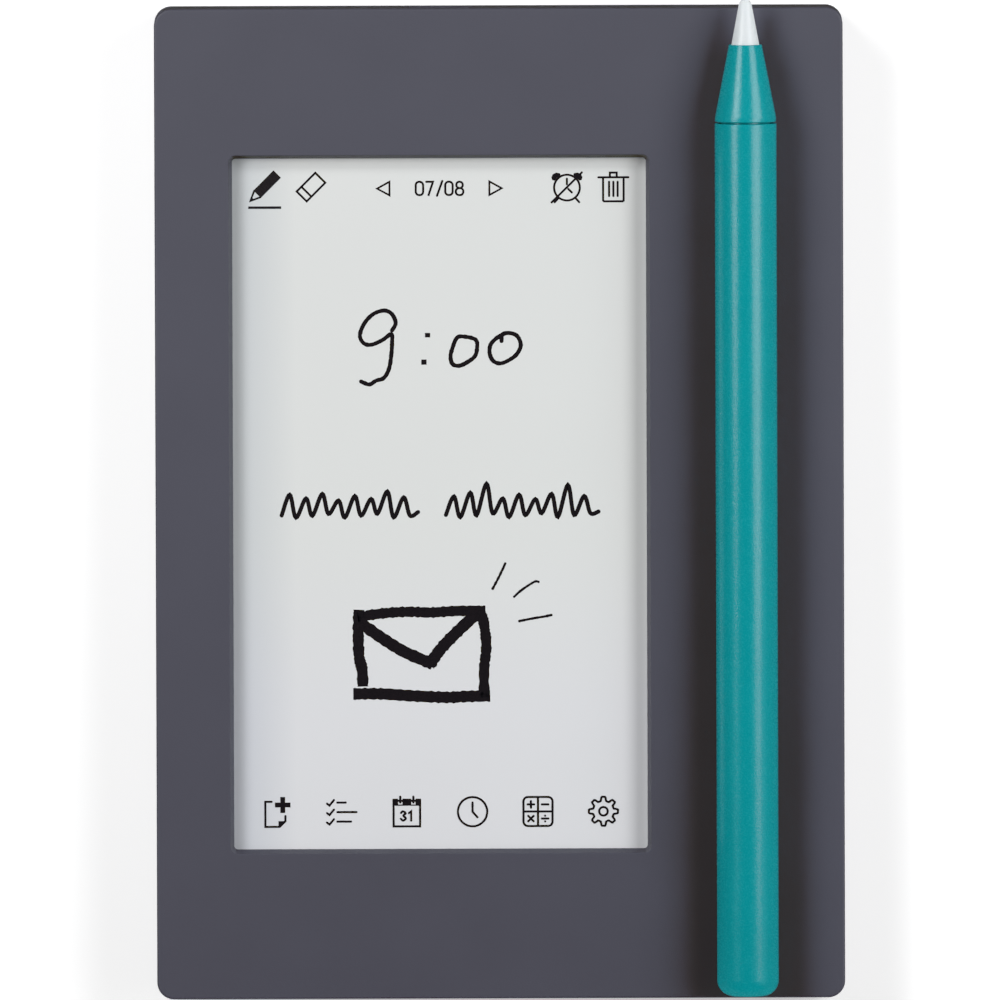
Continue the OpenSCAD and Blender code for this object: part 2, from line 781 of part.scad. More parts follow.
module stylus_nib() {
    taper = atan((nib_d / 2 - nib_tip_r) / (nib_out - nib_tip_r));
    tip = [for (i = [0 : 6]) let (a = taper + (90 - taper) * i / 6)
        [nib_tip_r * cos(a), stylus_l - nib_tip_r + nib_tip_r * sin(a)]];
    color(nib_white) in_body() stylus_turned(concat(
        [[0, stem_s], [stem_r, stem_s], [stem_r, nib_shoulder_s], [nib_d / 2, nib_shoulder_s],
         [nib_d / 2, cone_end_s]],
        [for (i = [0 : 5]) tip[i]], [[0, stylus_l]]));
}

module nib_socket() {
    color(chip_black) in_body() on_stylus(stem_s - 1) difference() {
        cylinder(r = socket_r, h = socket_l);
        translate([0, 0, 1]) cylinder(r = stem_r, h = socket_l);
    }
}

module ferrite_core() {
    color([0.25, 0.25, 0.27]) in_body() on_stylus(core_s) difference() {
        cylinder(r = core_r, h = core_l);
        translate([0, 0, -1]) cylinder(r = core_bore_r, h = core_l + 2);
    }
}

module pen_coil() {
    color(copper) in_body() on_stylus(core_s + (core_l - coil_l) / 2) difference() {
        cylinder(r = coil_r, h = coil_l);
        translate([0, 0, -1]) cylinder(r = core_r, h = coil_l + 2);
    }
}

module pressure_sensor() {
    color(steel) in_body() on_stylus(sensor_s) difference() {
        cylinder(r = sensor_r, h = sensor_l);
        translate([0, 0, sensor_bore_s - sensor_s]) cylinder(r = sensor_bore_r, h = sensor_l);
    }
}

// Blocks in the stylus: x across it, s along it, z above its axis.
module pen_block(w, s0, s1, z0, z1) {
    block(stylus_x - w / 2, stylus_x + w / 2, stylus_end_y + s0, stylus_end_y + s1,
          stylus_z + z0, stylus_z + z1);
}

function pen_magnet_s(y) = y - stylus_end_y;

module stylus_frame() {
    half = pen_magnet_l / 2 + 0.05;
    color(chip_black) in_body() difference() {
        on_stylus(frame_s) cylinder(r = frame_r, h = frame_end_s - frame_s);
        pen_block(8, pen_board_s - 0.2, pen_board_s + pen_board_l + 0.2, pen_board_z, 4);
        for (y = magnet_y)
            pen_block(pen_magnet_w + 0.1, pen_magnet_s(y) - half, pen_magnet_s(y) + half,
                      -4, pen_magnet_z + pen_magnet_t);
    }
}

module stylus_board() {
    color(board_green) in_body()
        pen_block(pen_board_w, pen_board_s, pen_board_s + pen_board_l, pen_board_z,
                  pen_board_z + pen_board_t);
}

module stylus_chips() {
    top = pen_board_z + pen_board_t;
    color(chip_black) in_body() for (c = [[3, 3, 5], [2, 10, 12], [2.6, 16, 19], [2, 23, 25]])
        pen_block(c[0], pen_board_s + c[1], pen_board_s + c[2], top, top + 0.7);
}

module stylus_magnets() {
    color(nickel) in_body() for (y = magnet_y)
        pen_block(pen_magnet_w, pen_magnet_s(y) - pen_magnet_l / 2,
                  pen_magnet_s(y) + pen_magnet_l / 2, pen_magnet_z, pen_magnet_z + pen_magnet_t);
}

front_bezel();
rear_cover();
window_gasket();
screen_film();
epaper_panel();
panel_flex();
digitizer_board();
digitizer_flex();
digitizer_shield();
chassis_plate();
main_board();
board_chips();
board_passives();
shield_can();
flex_connectors();
usb_c_shell();
usb_c_tongue();
battery_pack();
battery_protection_board();
battery_leads();
battery_plug();
battery_socket();
battery_tape();
power_button();
power_switch();
power_switch_plunger();
reset_switch();
reset_plunger();
buzzer();
buzzer_leads();
body_magnets();
magnet_holders();
rubber_feet();
case_screws();
thread_inserts();
chassis_screws();
board_screws();
stylus_barrel();
stylus_cone();
stylus_nib();
nib_socket();
ferrite_core();
pen_coil();
pressure_sensor();
stylus_frame();
stylus_board();
stylus_chips();
stylus_magnets();
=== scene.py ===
"""Looks of an electronic-paper notepad with a stylus lying on its face.

Shapes are worked out in millimetres in the part's own frame: X across the face, Y towards the stylus's
nib, Z out of the screen. They turn into metres where a mesh is made.
"""

import cmath
import json
import math

import bmesh
import bpy
from mathutils import Matrix, Vector


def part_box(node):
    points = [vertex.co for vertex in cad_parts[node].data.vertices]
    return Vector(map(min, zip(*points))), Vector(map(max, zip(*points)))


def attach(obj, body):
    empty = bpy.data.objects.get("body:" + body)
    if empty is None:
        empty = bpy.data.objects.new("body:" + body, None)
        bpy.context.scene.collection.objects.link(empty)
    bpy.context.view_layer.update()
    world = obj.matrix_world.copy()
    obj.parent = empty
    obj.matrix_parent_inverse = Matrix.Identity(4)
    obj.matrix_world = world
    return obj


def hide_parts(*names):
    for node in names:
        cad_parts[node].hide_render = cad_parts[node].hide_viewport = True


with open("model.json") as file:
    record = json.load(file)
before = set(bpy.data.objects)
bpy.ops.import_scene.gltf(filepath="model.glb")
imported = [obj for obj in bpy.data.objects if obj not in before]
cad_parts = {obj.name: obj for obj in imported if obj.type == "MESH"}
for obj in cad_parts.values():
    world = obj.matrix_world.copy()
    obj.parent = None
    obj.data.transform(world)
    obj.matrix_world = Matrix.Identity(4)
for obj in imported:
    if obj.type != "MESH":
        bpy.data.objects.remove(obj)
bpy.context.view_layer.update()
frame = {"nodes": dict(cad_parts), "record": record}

MM = 0.001
ARC_STEP = math.radians(7.5)
HOLD = 0.04  # step beside a rounded edge that keeps the flat face next to it flat
SHARP = math.radians(32)


# --- places read from the frame ---


def box_mm(node):
    """Lowest and highest corner of a CAD node, in millimetres."""
    low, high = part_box(node)
    return Vector(low) / MM, Vector(high) / MM


def centre_mm(node):
    low, high = box_mm(node)
    return (low + high) / 2


def four_places(node, radius):
    """Centres of four round pieces of that radius at the corners of a node's box."""
    low, high = box_mm(node)
    return [(x, y) for x in (low.x + radius, high.x - radius) for y in (low.y + radius, high.y - radius)]


def record_window():
    """The window's outline from the stated opening, which stands 0.1 mm inside it."""
    low, high = frame["record"]["physics"]["openings"][0]["box_m"]
    clear = 0.1
    width = (high[0] - low[0]) / MM + 2 * clear
    height = (high[1] - low[1]) / MM + 2 * clear
    return (high[0] + low[0]) / 2 / MM, (high[1] + low[1]) / 2 / MM, width, height


bezel_low, bezel_high = box_mm("front_bezel")
cover_low, cover_high = box_mm("rear_cover")
BODY_X = (bezel_low.x + bezel_high.x) / 2
BODY_Y = (bezel_low.y + bezel_high.y) / 2
BODY_W = bezel_high.x - bezel_low.x
BODY_H = bezel_high.y - bezel_low.y
FACE_Z = bezel_high.z
REAR_Z = cover_low.z
SPLIT_GAP = 0.15
LIP_H = 1.1
SPLIT_Z = cover_high.z - LIP_H  # the rear cover's lip stands above the split
FILM_Z = box_mm("screen_film")[1].z
PLATE_Z = box_mm("window_gasket")[1].z
WINDOW_X, WINDOW_Y, WINDOW_W, WINDOW_H = record_window()
WINDOW_LEFT = WINDOW_X - WINDOW_W / 2
WINDOW_RIGHT = WINDOW_X + WINDOW_W / 2
WINDOW_TOP = WINDOW_Y + WINDOW_H / 2
WINDOW_R = 0.5
WINDOW_SLOPE = 0.5  # how much wider the window is at the face, on each side
CORNER_R = 2.3
FRONT_ROUND = 0.3
REAR_ROUND = 1.7
WALL = 1.6
LIP_T = 0.8
LIP_GAP = 0.1
FLOOR_T = 1.6
BOSS_R = 2.6
INSERT_R = 1.6
CASE_SCREW_R = 1.8
CASE_SCREW_HEAD_H = 1.1
CHASSIS_SCREW_R = 1.3
FOOT_R = 4.0
USB_W = 8.94
USB_H = 3.16
USB_WALL = 0.3
BUTTON_W = 9.0
BUTTON_H = 2.6


# --- outlines ---


def rounded_path(corners, closed=False):
    """Runs through (a, b, radius) corners with an arc at each, and holds the straights beside them."""
    count = len(corners)
    arcs = []
    for i, (a, b, radius) in enumerate(corners):
        here = complex(a, b)
        is_end = not closed and i in (0, count - 1)
        if radius == 0 or is_end:
            arcs.append([here])
            continue
        before = complex(*corners[i - 1][:2])
        after = complex(*corners[(i + 1) % count][:2])
        into = (here - before) / abs(here - before)
        out = (after - here) / abs(after - here)
        turn = cmath.phase(out / into)
        start = here - into * radius * math.tan(abs(turn) / 2)
        centre = start + into * 1j * math.copysign(radius, turn)
        steps = max(3, round(abs(turn) / ARC_STEP))
        arcs.append([centre + (start - centre) * cmath.exp(1j * turn * k / steps)
                     for k in range(steps + 1)])
    path = []
    for i, arc in enumerate(arcs):
        path += arc
        if i == count - 1 and not closed:
            break
        following = arcs[(i + 1) % count]
        gap = following[0] - arc[-1]
        if abs(gap) > 4 * HOLD:
            step = gap / abs(gap) * HOLD
            if len(arc) > 1:
                path.append(arc[-1] + step)
            if len(following) > 1:
                path.append(following[0] - step)
    return [(p.real, p.imag) for p in path]


def rounded_loop(width, height, radius, x=0.0, y=0.0, steps=14):
    """Points round a rectangle with round corners, anticlockwise."""
    radius = max(radius, 0.02)
    points = []
    for turn, (side_x, side_y) in enumerate(((1, 1), (-1, 1), (-1, -1), (1, -1))):
        for i in range(steps + 1):
            angle = math.pi / 2 * (turn + i / steps)
            points.append((x + side_x * (width / 2 - radius) + radius * math.cos(angle),
                           y + side_y * (height / 2 - radius) + radius * math.sin(angle)))
    return points


def inset_rings(width, height, radius, path, x=0.0, y=0.0):
    """One ring round a rectangle for each (inset, z) of a path."""
    return [[(px, py, z) for px, py in
             rounded_loop(width - 2 * inset, height - 2 * inset, radius - inset, x, y)]
            for inset, z in path]


def body_rings(path):
    return inset_rings(BODY_W, BODY_H, CORNER_R, path, BODY_X, BODY_Y)


def window_rings(path):
    return inset_rings(WINDOW_W, WINDOW_H, WINDOW_R, path, WINDOW_X, WINDOW_Y)


def rings_along_y(width, height, radius, path, x, z, steps=14):
    """One upright ring round a rectangle for each (inset, y) of a path."""
    return [[(px, y, pz) for px, pz in
             rounded_loop(width - 2 * inset, height - 2 * inset, radius - inset, x, z, steps)]
            for inset, y in path]


# --- meshes ---


def loft(rings, closed=False):
    """Vertices and faces through rings of equal length, capped unless the rings close on themselves."""
    size = len(rings[0])
    verts = [point for ring in rings for point in ring]
    faces = []
    for a in range(len(rings) if closed else len(rings) - 1):
        b = (a + 1) % len(rings)
        for i in range(size):
            j = (i + 1) % size
            faces.append((a * size + i, a * size + j, b * size + j, b * size + i))
    if not closed:
        faces.append(tuple(reversed(range(size))))
        faces.append(tuple(range((len(rings) - 1) * size, len(rings) * size)))
    return verts, faces


def lathe(path, place, closed=False, segments=96):
    """Turns a path of (radius, along) points; place(u, v, along) says where a point goes."""
    rings = []
    for radius, along in path:
        rings.append([place(radius * math.cos(2 * math.pi * i / segments),
                            radius * math.sin(2 * math.pi * i / segments), along)
                      for i in range(segments)])
    return loft(rings, closed)


def upright(x, y, z=0.0):
    return lambda u, v, along: (x + u, y + v, z + along)


def merged(parts):
    """Several (verts, faces) as one."""
    verts, faces = [], []
    for part_verts, part_faces in parts:
        start = len(verts)
        verts += part_verts
        faces += [tuple(start + i for i in face) for face in part_faces]
    return verts, faces


def shade(mesh):
    mesh.shade_smooth()
    mesh.set_sharp_from_angle(angle=SHARP)


def add_object(name, data):
    made = bpy.data.objects.new(name, data)
    bpy.context.scene.collection.objects.link(made)
    return made


def make_object(name, shape):
    """A closed mesh object from millimetre vertices and faces, with its normals outwards."""
    verts, faces = shape
    mesh = bpy.data.meshes.new(name)
    mesh.from_pydata([Vector(v) * MM for v in verts], [], faces)
    clean = bmesh.new()
    clean.from_mesh(mesh)
    bmesh.ops.remove_doubles(clean, verts=clean.verts, dist=1e-7)
    bmesh.ops.dissolve_degenerate(clean, dist=1e-8, edges=clean.edges)
    bmesh.ops.recalc_face_normals(clean, faces=clean.faces)
    clean.to_mesh(mesh)
    clean.free()
    shade(mesh)
    return add_object(name, mesh)


def settle(made):
    """Turns an object's modifiers into its mesh."""
    graph = bpy.context.evaluated_depsgraph_get()
    mesh = bpy.data.meshes.new_from_object(made.evaluated_get(graph))
    made.modifiers.clear()
    made.data = mesh
    shade(mesh)


def combine(made, operation, shape):
    """Adds a shape to an object (UNION) or cuts it away (DIFFERENCE)."""
    tool = make_object("tool", shape)
    modifier = made.modifiers.new("combine", "BOOLEAN")
    modifier.operation = operation
    modifier.solver = "EXACT"
    modifier.object = tool
    settle(made)
    bpy.data.objects.remove(tool)


def finish_piece(made, material, body, replaces=()):
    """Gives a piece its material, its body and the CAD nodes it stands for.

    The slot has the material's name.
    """
    made.data.materials.clear()
    made.data.materials.append(MATERIALS[material])
    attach(made, body)
    if replaces:
        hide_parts(*replaces)


def disc(x, y, radius, z0, z1):
    """Upright cylinder."""
    return lathe([(0, z0), (radius, z0), (radius, z1), (0, z1)], upright(x, y), segments=48)


def wall_cut(x, z, width, height, radius, wall_y, ease):
    """Round-cornered cutter through the end wall, opening by ease at the wall's outer face."""
    depth = 4.0
    path = [(0, wall_y - depth), (0, wall_y - ease), (-ease, wall_y), (-ease - 1, wall_y + 1)]
    return loft(rings_along_y(width, height, radius, path, x, z))


# --- materials ---


class Finish:
    """A Principled material whose patterns are measured in millimetres."""

    def __init__(self, name, **sockets):
        self.material = bpy.data.materials.new(name)
        self.material.use_nodes = True
        self.tree = self.material.node_tree
        self.shader = self.tree.nodes["Principled BSDF"]
        self.fill(self.shader, sockets)
        object_place = self.add("ShaderNodeTexCoord").outputs["Object"]
        self.place = self.add("ShaderNodeVectorMath", {"Vector": object_place, "Scale": 1 / MM},
                              operation="SCALE").outputs["Vector"]

    def fill(self, node, values):
        for key, value in values.items():
            socket = node.inputs[key.replace("_", " ") if isinstance(key, str) else key]
            if isinstance(value, bpy.types.NodeSocket):
                self.tree.links.new(value, socket)
            elif socket.type == "RGBA":
                socket.default_value = (*value, 1.0)
            else:
                socket.default_value = value

    def add(self, kind, inputs=None, **settings):
        node = self.tree.nodes.new(kind)
        for key, value in settings.items():
            setattr(node, key, value)
        self.fill(node, inputs or {})
        return node

    def stretched(self, x, y, z):
        """The place with each axis scaled, for grain that runs one way."""
        return self.add("ShaderNodeVectorMath", {0: self.place, 1: (x, y, z)},
                        operation="MULTIPLY").outputs["Vector"]

    def noise(self, cell, detail=2.0, place=None, roughness=0.5):
        return self.add("ShaderNodeTexNoise", {"Vector": place or self.place, "Scale": 1 / cell,
                                               "Detail": detail, "Roughness": roughness}).outputs["Fac"]

    def flakes(self, cell):
        """A random value for each small cell."""
        node = self.add("ShaderNodeTexVoronoi", {"Vector": self.place, "Scale": 1 / cell})
        return self.add("ShaderNodeSeparateColor", {"Color": node.outputs["Color"]}).outputs["Red"]

    def between(self, value, low, high, start=0.3, end=0.7):
        """Goes from low to high as the value goes from start to end, and stops there."""
        return self.add("ShaderNodeMapRange", {"Value": value, "From Min": start, "From Max": end,
                                               "To Min": low, "To Max": high}).outputs["Result"]

    def blend(self, factor, first, second):
        node = self.add("ShaderNodeMix", data_type="RGBA")
        self.fill(node, {0: factor, 6: first, 7: second})
        return node.outputs[2]

    def washed(self, factor, colour, tint):
        """The colour multiplied by a tint, as far as the factor says."""
        node = self.add("ShaderNodeMix", data_type="RGBA", blend_type="MULTIPLY")
        self.fill(node, {0: factor, 6: colour, 7: tint})
        return node.outputs[2]

    def x_and_y(self):
        axes = self.add("ShaderNodeSeparateXYZ", {"Vector": self.place}).outputs
        return axes["X"], axes["Y"]

    def compute(self, operation, first, second):
        return self.add("ShaderNodeMath", {0: first, 1: second}, operation=operation).outputs["Value"]

    def within(self, value, low, high, soft=0.04):
        """1 where the value lies from low to high, and 0 elsewhere, with a soft change between."""
        above_low = self.between(value, 0, 1, low - soft, low + soft)
        below_high = self.between(value, 1, 0, high - soft, high + soft)
        return self.compute("MULTIPLY", above_low, below_high)

    def colour(self, value):
        self.fill(self.shader, {"Base Color": value})

    def rough(self, value):
        self.fill(self.shader, {"Roughness": value})

    def bump(self, height, depth):
        """Bumps of that depth; each call adds to the last."""
        before = self.shader.inputs["Normal"].links
        inputs = {"Height": height, "Distance": depth * MM, "Strength": 1.0}
        if before:
            inputs["Normal"] = before[0].from_socket
        self.fill(self.shader, {"Normal": self.add("ShaderNodeBump", inputs).outputs["Normal"]})


def tinted(colour, factor):
    return tuple(min(1.0, c * factor) for c in colour)


def darker_ends(finish, colour):
    """Darkens the window's two end walls, the one by the nib more than the other.

    This is shade from one lighting painted into the colour, so leave it out for a neutral material.
    """
    nib_end_tint = (0.45, 0.45, 0.55)
    far_end_tint = (0.6, 0.6, 0.68)
    x, y = finish.x_and_y()
    across = finish.within(x, WINDOW_LEFT + WINDOW_R, WINDOW_RIGHT - WINDOW_R, WINDOW_R)
    for side, tint in ((1, nib_end_tint), (-1, far_end_tint)):
        edge = WINDOW_Y + side * WINDOW_H / 2
        low, high = sorted((edge, edge + side * WINDOW_SLOPE))
        wall = finish.compute("MULTIPLY", across, finish.within(y, low, high))
        colour = finish.washed(wall, colour, tint)
    return colour


def moulded(name, colour, grain=0.16, depth=0.01, rough=(0.46, 0.6), spread=0.06, toned=None, **sockets):
    """Moulded plastic or rubber: a fine spark-eroded grain with a slow change of shade across it.

    toned is a function that changes the colour further.
    """
    finish = Finish(name, **sockets)
    slow = finish.noise(14, 2)
    fine = finish.noise(grain, 3, roughness=0.6)
    cloudy = finish.blend(finish.between(slow, 0, 1), tinted(colour, 1 - spread / 2),
                          tinted(colour, 1 + spread / 2))
    speck = finish.between(fine, 0.0, 0.14, 0.35, 0.7)
    mixed = finish.blend(speck, cloudy, tinted(colour, 1.6))
    finish.colour(toned(finish, mixed) if toned else mixed)
    finish.rough(finish.between(fine, *rough))
    finish.bump(fine, depth)
    return finish.material


def metal(name, colour, rough=(0.22, 0.38), stretch=(1, 1, 1), cell=0.08, depth=0.002):
    """Bare or plated metal with a fine grain, drawn out along one axis by stretch."""
    finish = Finish(name, Metallic=1.0)
    grain = finish.noise(cell, 3, finish.stretched(*stretch))
    slow = finish.noise(3, 2)
    finish.colour(finish.blend(finish.between(slow, 0, 1), tinted(colour, 0.92), tinted(colour, 1.05)))
    finish.rough(finish.between(grain, *rough))
    finish.bump(grain, depth)
    return finish.material


def circuit_board(name, colour):
    """Solder mask over fine tracks, with bare pads here and there."""
    bare_copper = (0.55, 0.4, 0.2)
    finish = Finish(name, Coat_Weight=0.4, Coat_Roughness=0.15)
    across = finish.add("ShaderNodeTexWave", {"Vector": finish.stretched(1, 0.2, 1), "Scale": 0.5,
                                              "Distortion": 3.0, "Detail": 1.0}).outputs["Fac"]
    tracks = finish.between(across, 0, 1, 0.45, 0.55)
    pads = finish.between(finish.noise(1.1, 0), 0, 1, 0.68, 0.7)
    mask = finish.blend(tracks, colour, tinted(colour, 1.7))
    finish.colour(finish.blend(pads, mask, bare_copper))
    finish.rough(finish.between(finish.noise(0.3), 0.3, 0.45))
    finish.bump(tracks, 0.02)
    return finish.material


def pearl_paint(name, colour):
    """Satin paint over a faintly pebbled ground, with small pearl flakes that glint in the highlights."""
    pearl = (0.03, 0.42, 0.45)
    finish = Finish(name, Specular_IOR_Level=0.45)
    flake = finish.flakes(0.13)
    pebble = finish.noise(0.26, 2, roughness=0.6)
    slow = finish.noise(9, 2)
    body = finish.blend(finish.between(slow, 0, 1), tinted(colour, 0.97), tinted(colour, 1.03))
    finish.colour(finish.blend(finish.between(flake, 0, 0.35, 0.75, 1.0), body, pearl))
    finish.rough(finish.between(flake, 0.2, 0.34, 0.0, 1.0))
    finish.bump(pebble, 0.018)
    finish.bump(flake, 0.002)
    return finish.material


def paper_film(name, colour):
    """Etched film over electronic paper: pale, matt and barely grained.

    The washes are light and shade from one lighting painted into the colour: paler and cooler low down,
    dimmer at the left, and lifted beside three walls. Leave them out for a neutral material.
    """
    pale_tint = (1.055, 1.055, 1.055)
    cool_tint = (0.997, 0.987, 1.03)
    dim_tint = (0.83, 0.85, 0.88)
    lift_tint = (1.25, 1.25, 1.25)
    finish = Finish(name, Specular_IOR_Level=0.35)
    grain = finish.noise(0.11, 3, roughness=0.7)
    slow = finish.noise(22, 1)
    base = finish.blend(finish.between(slow, 0, 1), tinted(colour, 0.99), tinted(colour, 1.01))
    speckled = finish.blend(finish.between(grain, 0, 1, 0.3, 0.75), base, tinted(colour, 1.035))
    x, y = finish.x_and_y()
    paler = finish.washed(finish.between(y, 1, 0, -30, 30), speckled, pale_tint)
    cooler = finish.washed(finish.between(y, 1, 0, -28, -6), paler, cool_tint)
    near_left = finish.between(x, 1, 0, WINDOW_LEFT + 2.2, WINDOW_LEFT + 8.5)
    dimmer = finish.washed(near_left, cooler, dim_tint)
    from_left = finish.compute("SUBTRACT", x, WINDOW_LEFT)
    from_right = finish.compute("SUBTRACT", WINDOW_RIGHT, x)
    from_top = finish.compute("SUBTRACT", WINDOW_TOP, y)
    from_wall = finish.compute("MINIMUM", finish.compute("MINIMUM", from_left, from_right), from_top)
    finish.colour(finish.washed(finish.between(from_wall, 1, 0, 0.2, 1.3), dimmer, lift_tint))
    finish.rough(finish.between(grain, 0.5, 0.62))
    finish.bump(grain, 0.003)
    return finish.material


def screen_ink(name, colour):
    """Switched capsules under the film: nearly black, broken up at the size of the picture cells."""
    finish = Finish(name, Specular_IOR_Level=0.1)
    cell = finish.flakes(0.116)
    finish.colour(finish.blend(finish.between(cell, 0, 1, 0.0, 1.0), colour, tinted(colour, 1.8)))
    finish.rough(finish.between(cell, 0.5, 0.65, 0.0, 1.0))
    return finish.material


def winding(name, colour):
    """Enamelled wire wound in close turns along Y, with painted shade: the colour darkens into the
    grooves between turns.
    """
    finish = Finish(name, Metallic=1.0, Coat_Weight=0.5, Coat_Roughness=0.1)
    turns = finish.add("ShaderNodeTexWave", {"Vector": finish.place, "Scale": 1.6},
                       bands_direction="Y").outputs["Fac"]
    # Painted shade: the colour falls to half where the turns dip into the grooves between them.
    finish.colour(finish.blend(turns, tinted(colour, 0.5), colour))
    finish.rough(finish.between(turns, 0.4, 0.25, 0.0, 1.0))
    finish.bump(turns, 0.04)
    return finish.material


def foil(name, colour):
    """Crinkled pouch foil, with painted shade and light: darker in the hollows of the crinkles, lighter
    on their crests.
    """
    finish = Finish(name, Metallic=0.7)
    crinkle = finish.noise(2.4, 4, roughness=0.6)
    # Painted shade and light: the colour follows the crinkle's height, darker low and lighter high.
    finish.colour(finish.blend(finish.between(crinkle, 0, 1), tinted(colour, 0.85), tinted(colour, 1.1)))
    finish.rough(finish.between(crinkle, 0.32, 0.5))
    finish.bump(crinkle, 0.06)
    return finish.material


BEZEL_GREY = (0.0625, 0.0615, 0.083)
COVER_GREY = (0.058, 0.057, 0.077)
TEAL = (0.0005, 0.29, 0.323)

MATERIALS = {
    "bezel_plastic": moulded("bezel_plastic", BEZEL_GREY, toned=darker_ends),
    "cover_plastic": moulded("cover_plastic", COVER_GREY, grain=0.22, depth=0.016, rough=(0.52, 0.68)),
    "screen_film": paper_film("screen_film", (0.715, 0.73, 0.722)),
    "panel_glass": moulded("panel_glass", (0.5, 0.52, 0.52), depth=0.002, rough=(0.12, 0.2), spread=0.03),
    "foam": moulded("foam", (0.02, 0.02, 0.022), grain=0.3, depth=0.06, rough=(0.8, 0.95)),
    "polyimide": moulded("polyimide", (0.42, 0.15, 0.025), depth=0.003, rough=(0.2, 0.32)),
    "circuit_board": circuit_board("circuit_board", (0.012, 0.09, 0.045)),
    "digitizer_mask": circuit_board("digitizer_mask", (0.01, 0.05, 0.09)),
    "chip_resin": moulded("chip_resin", (0.02, 0.02, 0.022), grain=0.08, depth=0.004),
    "steel": metal("steel", (0.56, 0.57, 0.58), stretch=(1, 12, 1)),
    "nickel": metal("nickel", (0.66, 0.63, 0.58), rough=(0.12, 0.24)),
    "copper": winding("copper", (0.62, 0.26, 0.12)),
    "brass": metal("brass", (0.7, 0.5, 0.2)),
    "magnesium": metal("magnesium", (0.36, 0.37, 0.39), rough=(0.5, 0.65), cell=0.15, depth=0.01),
    "battery_foil": foil("battery_foil", (0.42, 0.43, 0.45)),
    "connector_resin": moulded("connector_resin", (0.66, 0.6, 0.45), grain=0.1, depth=0.004),
    "ceramic_parts": moulded("ceramic_parts", (0.4, 0.31, 0.22), grain=0.1, depth=0.003),
    "lead_red": moulded("lead_red", (0.45, 0.02, 0.015), grain=0.2, depth=0.003, rough=(0.3, 0.4)),
    "lead_black": moulded("lead_black", (0.02, 0.02, 0.022), grain=0.2, depth=0.003, rough=(0.3, 0.4)),
    "rubber": moulded("rubber", (0.024, 0.024, 0.026), grain=0.12, depth=0.012, rough=(0.7, 0.85)),
    "stylus_paint": pearl_paint("stylus_paint", TEAL),
    "stylus_front": pearl_paint("stylus_front", TEAL),
    "nib_plastic": moulded("nib_plastic", (0.7, 0.74, 0.76), grain=0.1, depth=0.002, rough=(0.34, 0.46),
                           spread=0.02, Subsurface_Weight=0.6, Subsurface_Scale=0.0008,
                           Subsurface_Radius=(1.0, 1.0, 1.0)),
    "ferrite": moulded("ferrite", (0.05, 0.05, 0.055), grain=0.1, depth=0.006),
    "screen_ink": screen_ink("screen_ink", (0.0105, 0.009, 0.0115)),
    "toned_ink": screen_ink("toned_ink", (0.017, 0.018, 0.022)),
}


def paint_cad_nodes():
    for part in frame["record"]["subparts"]:
        for slot in frame["nodes"][part["node"]].material_slots:
            slot.material = MATERIALS[part["material_slot"]]


# --- body ---


def make_front_bezel():
    """Tub with a thin front plate, its window and chamfer, bosses, and the openings in the end wall."""
    flat_inset = FRONT_ROUND + 0.6
    lower_z = SPLIT_Z + SPLIT_GAP
    outside = rounded_path([(0, lower_z, 0), (0, FACE_Z, FRONT_ROUND), (flat_inset, FACE_Z, 0)])
    window = rounded_path([(-WINDOW_SLOPE - 0.6, FACE_Z, 0), (-WINDOW_SLOPE, FACE_Z, 0.08),
                           (0, PLATE_Z + 0.15, 0.1), (0, PLATE_Z, 0)])
    inside = rounded_path([(WALL, PLATE_Z, 0), (WALL, lower_z, 0)])
    made = make_object("bezel_shell", loft(
        body_rings(outside) + window_rings(window) + body_rings(inside), closed=True))
    corner_places = four_places("thread_inserts", INSERT_R)
    chassis_places = four_places("chassis_screws", CHASSIS_SCREW_R)
    buried = PLATE_Z + 0.3
    chassis_top = box_mm("digitizer_shield")[0].z
    corner_bosses = [disc(x, y, BOSS_R, bezel_low.z, buried) for x, y in corner_places]
    chassis_bosses = [disc(x, y, 1.7, chassis_top, buried) for x, y in chassis_places]
    for boss in corner_bosses + chassis_bosses:
        combine(made, "UNION", boss)
    insert_top = box_mm("thread_inserts")[1].z
    screw_space = box_mm("case_screws")[1].z + 0.4
    bores = [disc(x, y, INSERT_R, bezel_low.z - 1, insert_top) for x, y in corner_places]
    bores += [disc(x, y, 1.1, insert_top - 0.5, screw_space) for x, y in corner_places]
    bores += [disc(x, y, 0.7, PLATE_Z - 3, PLATE_Z - 0.3) for x, y in chassis_places]
    combine(made, "DIFFERENCE", merged(bores))
    port, button = centre_mm("usb_c_shell"), centre_mm("power_button")
    combine(made, "DIFFERENCE", merged([
        wall_cut(port.x, port.z, USB_W + 0.6, USB_H + 0.6, 1.8, bezel_high.y, 0.25),
        wall_cut(button.x, button.z, BUTTON_W + 0.3, BUTTON_H + 0.3, 1.4, bezel_high.y, 0.15)]))
    finish_piece(made, "bezel_plastic", "root", ["front_bezel"])


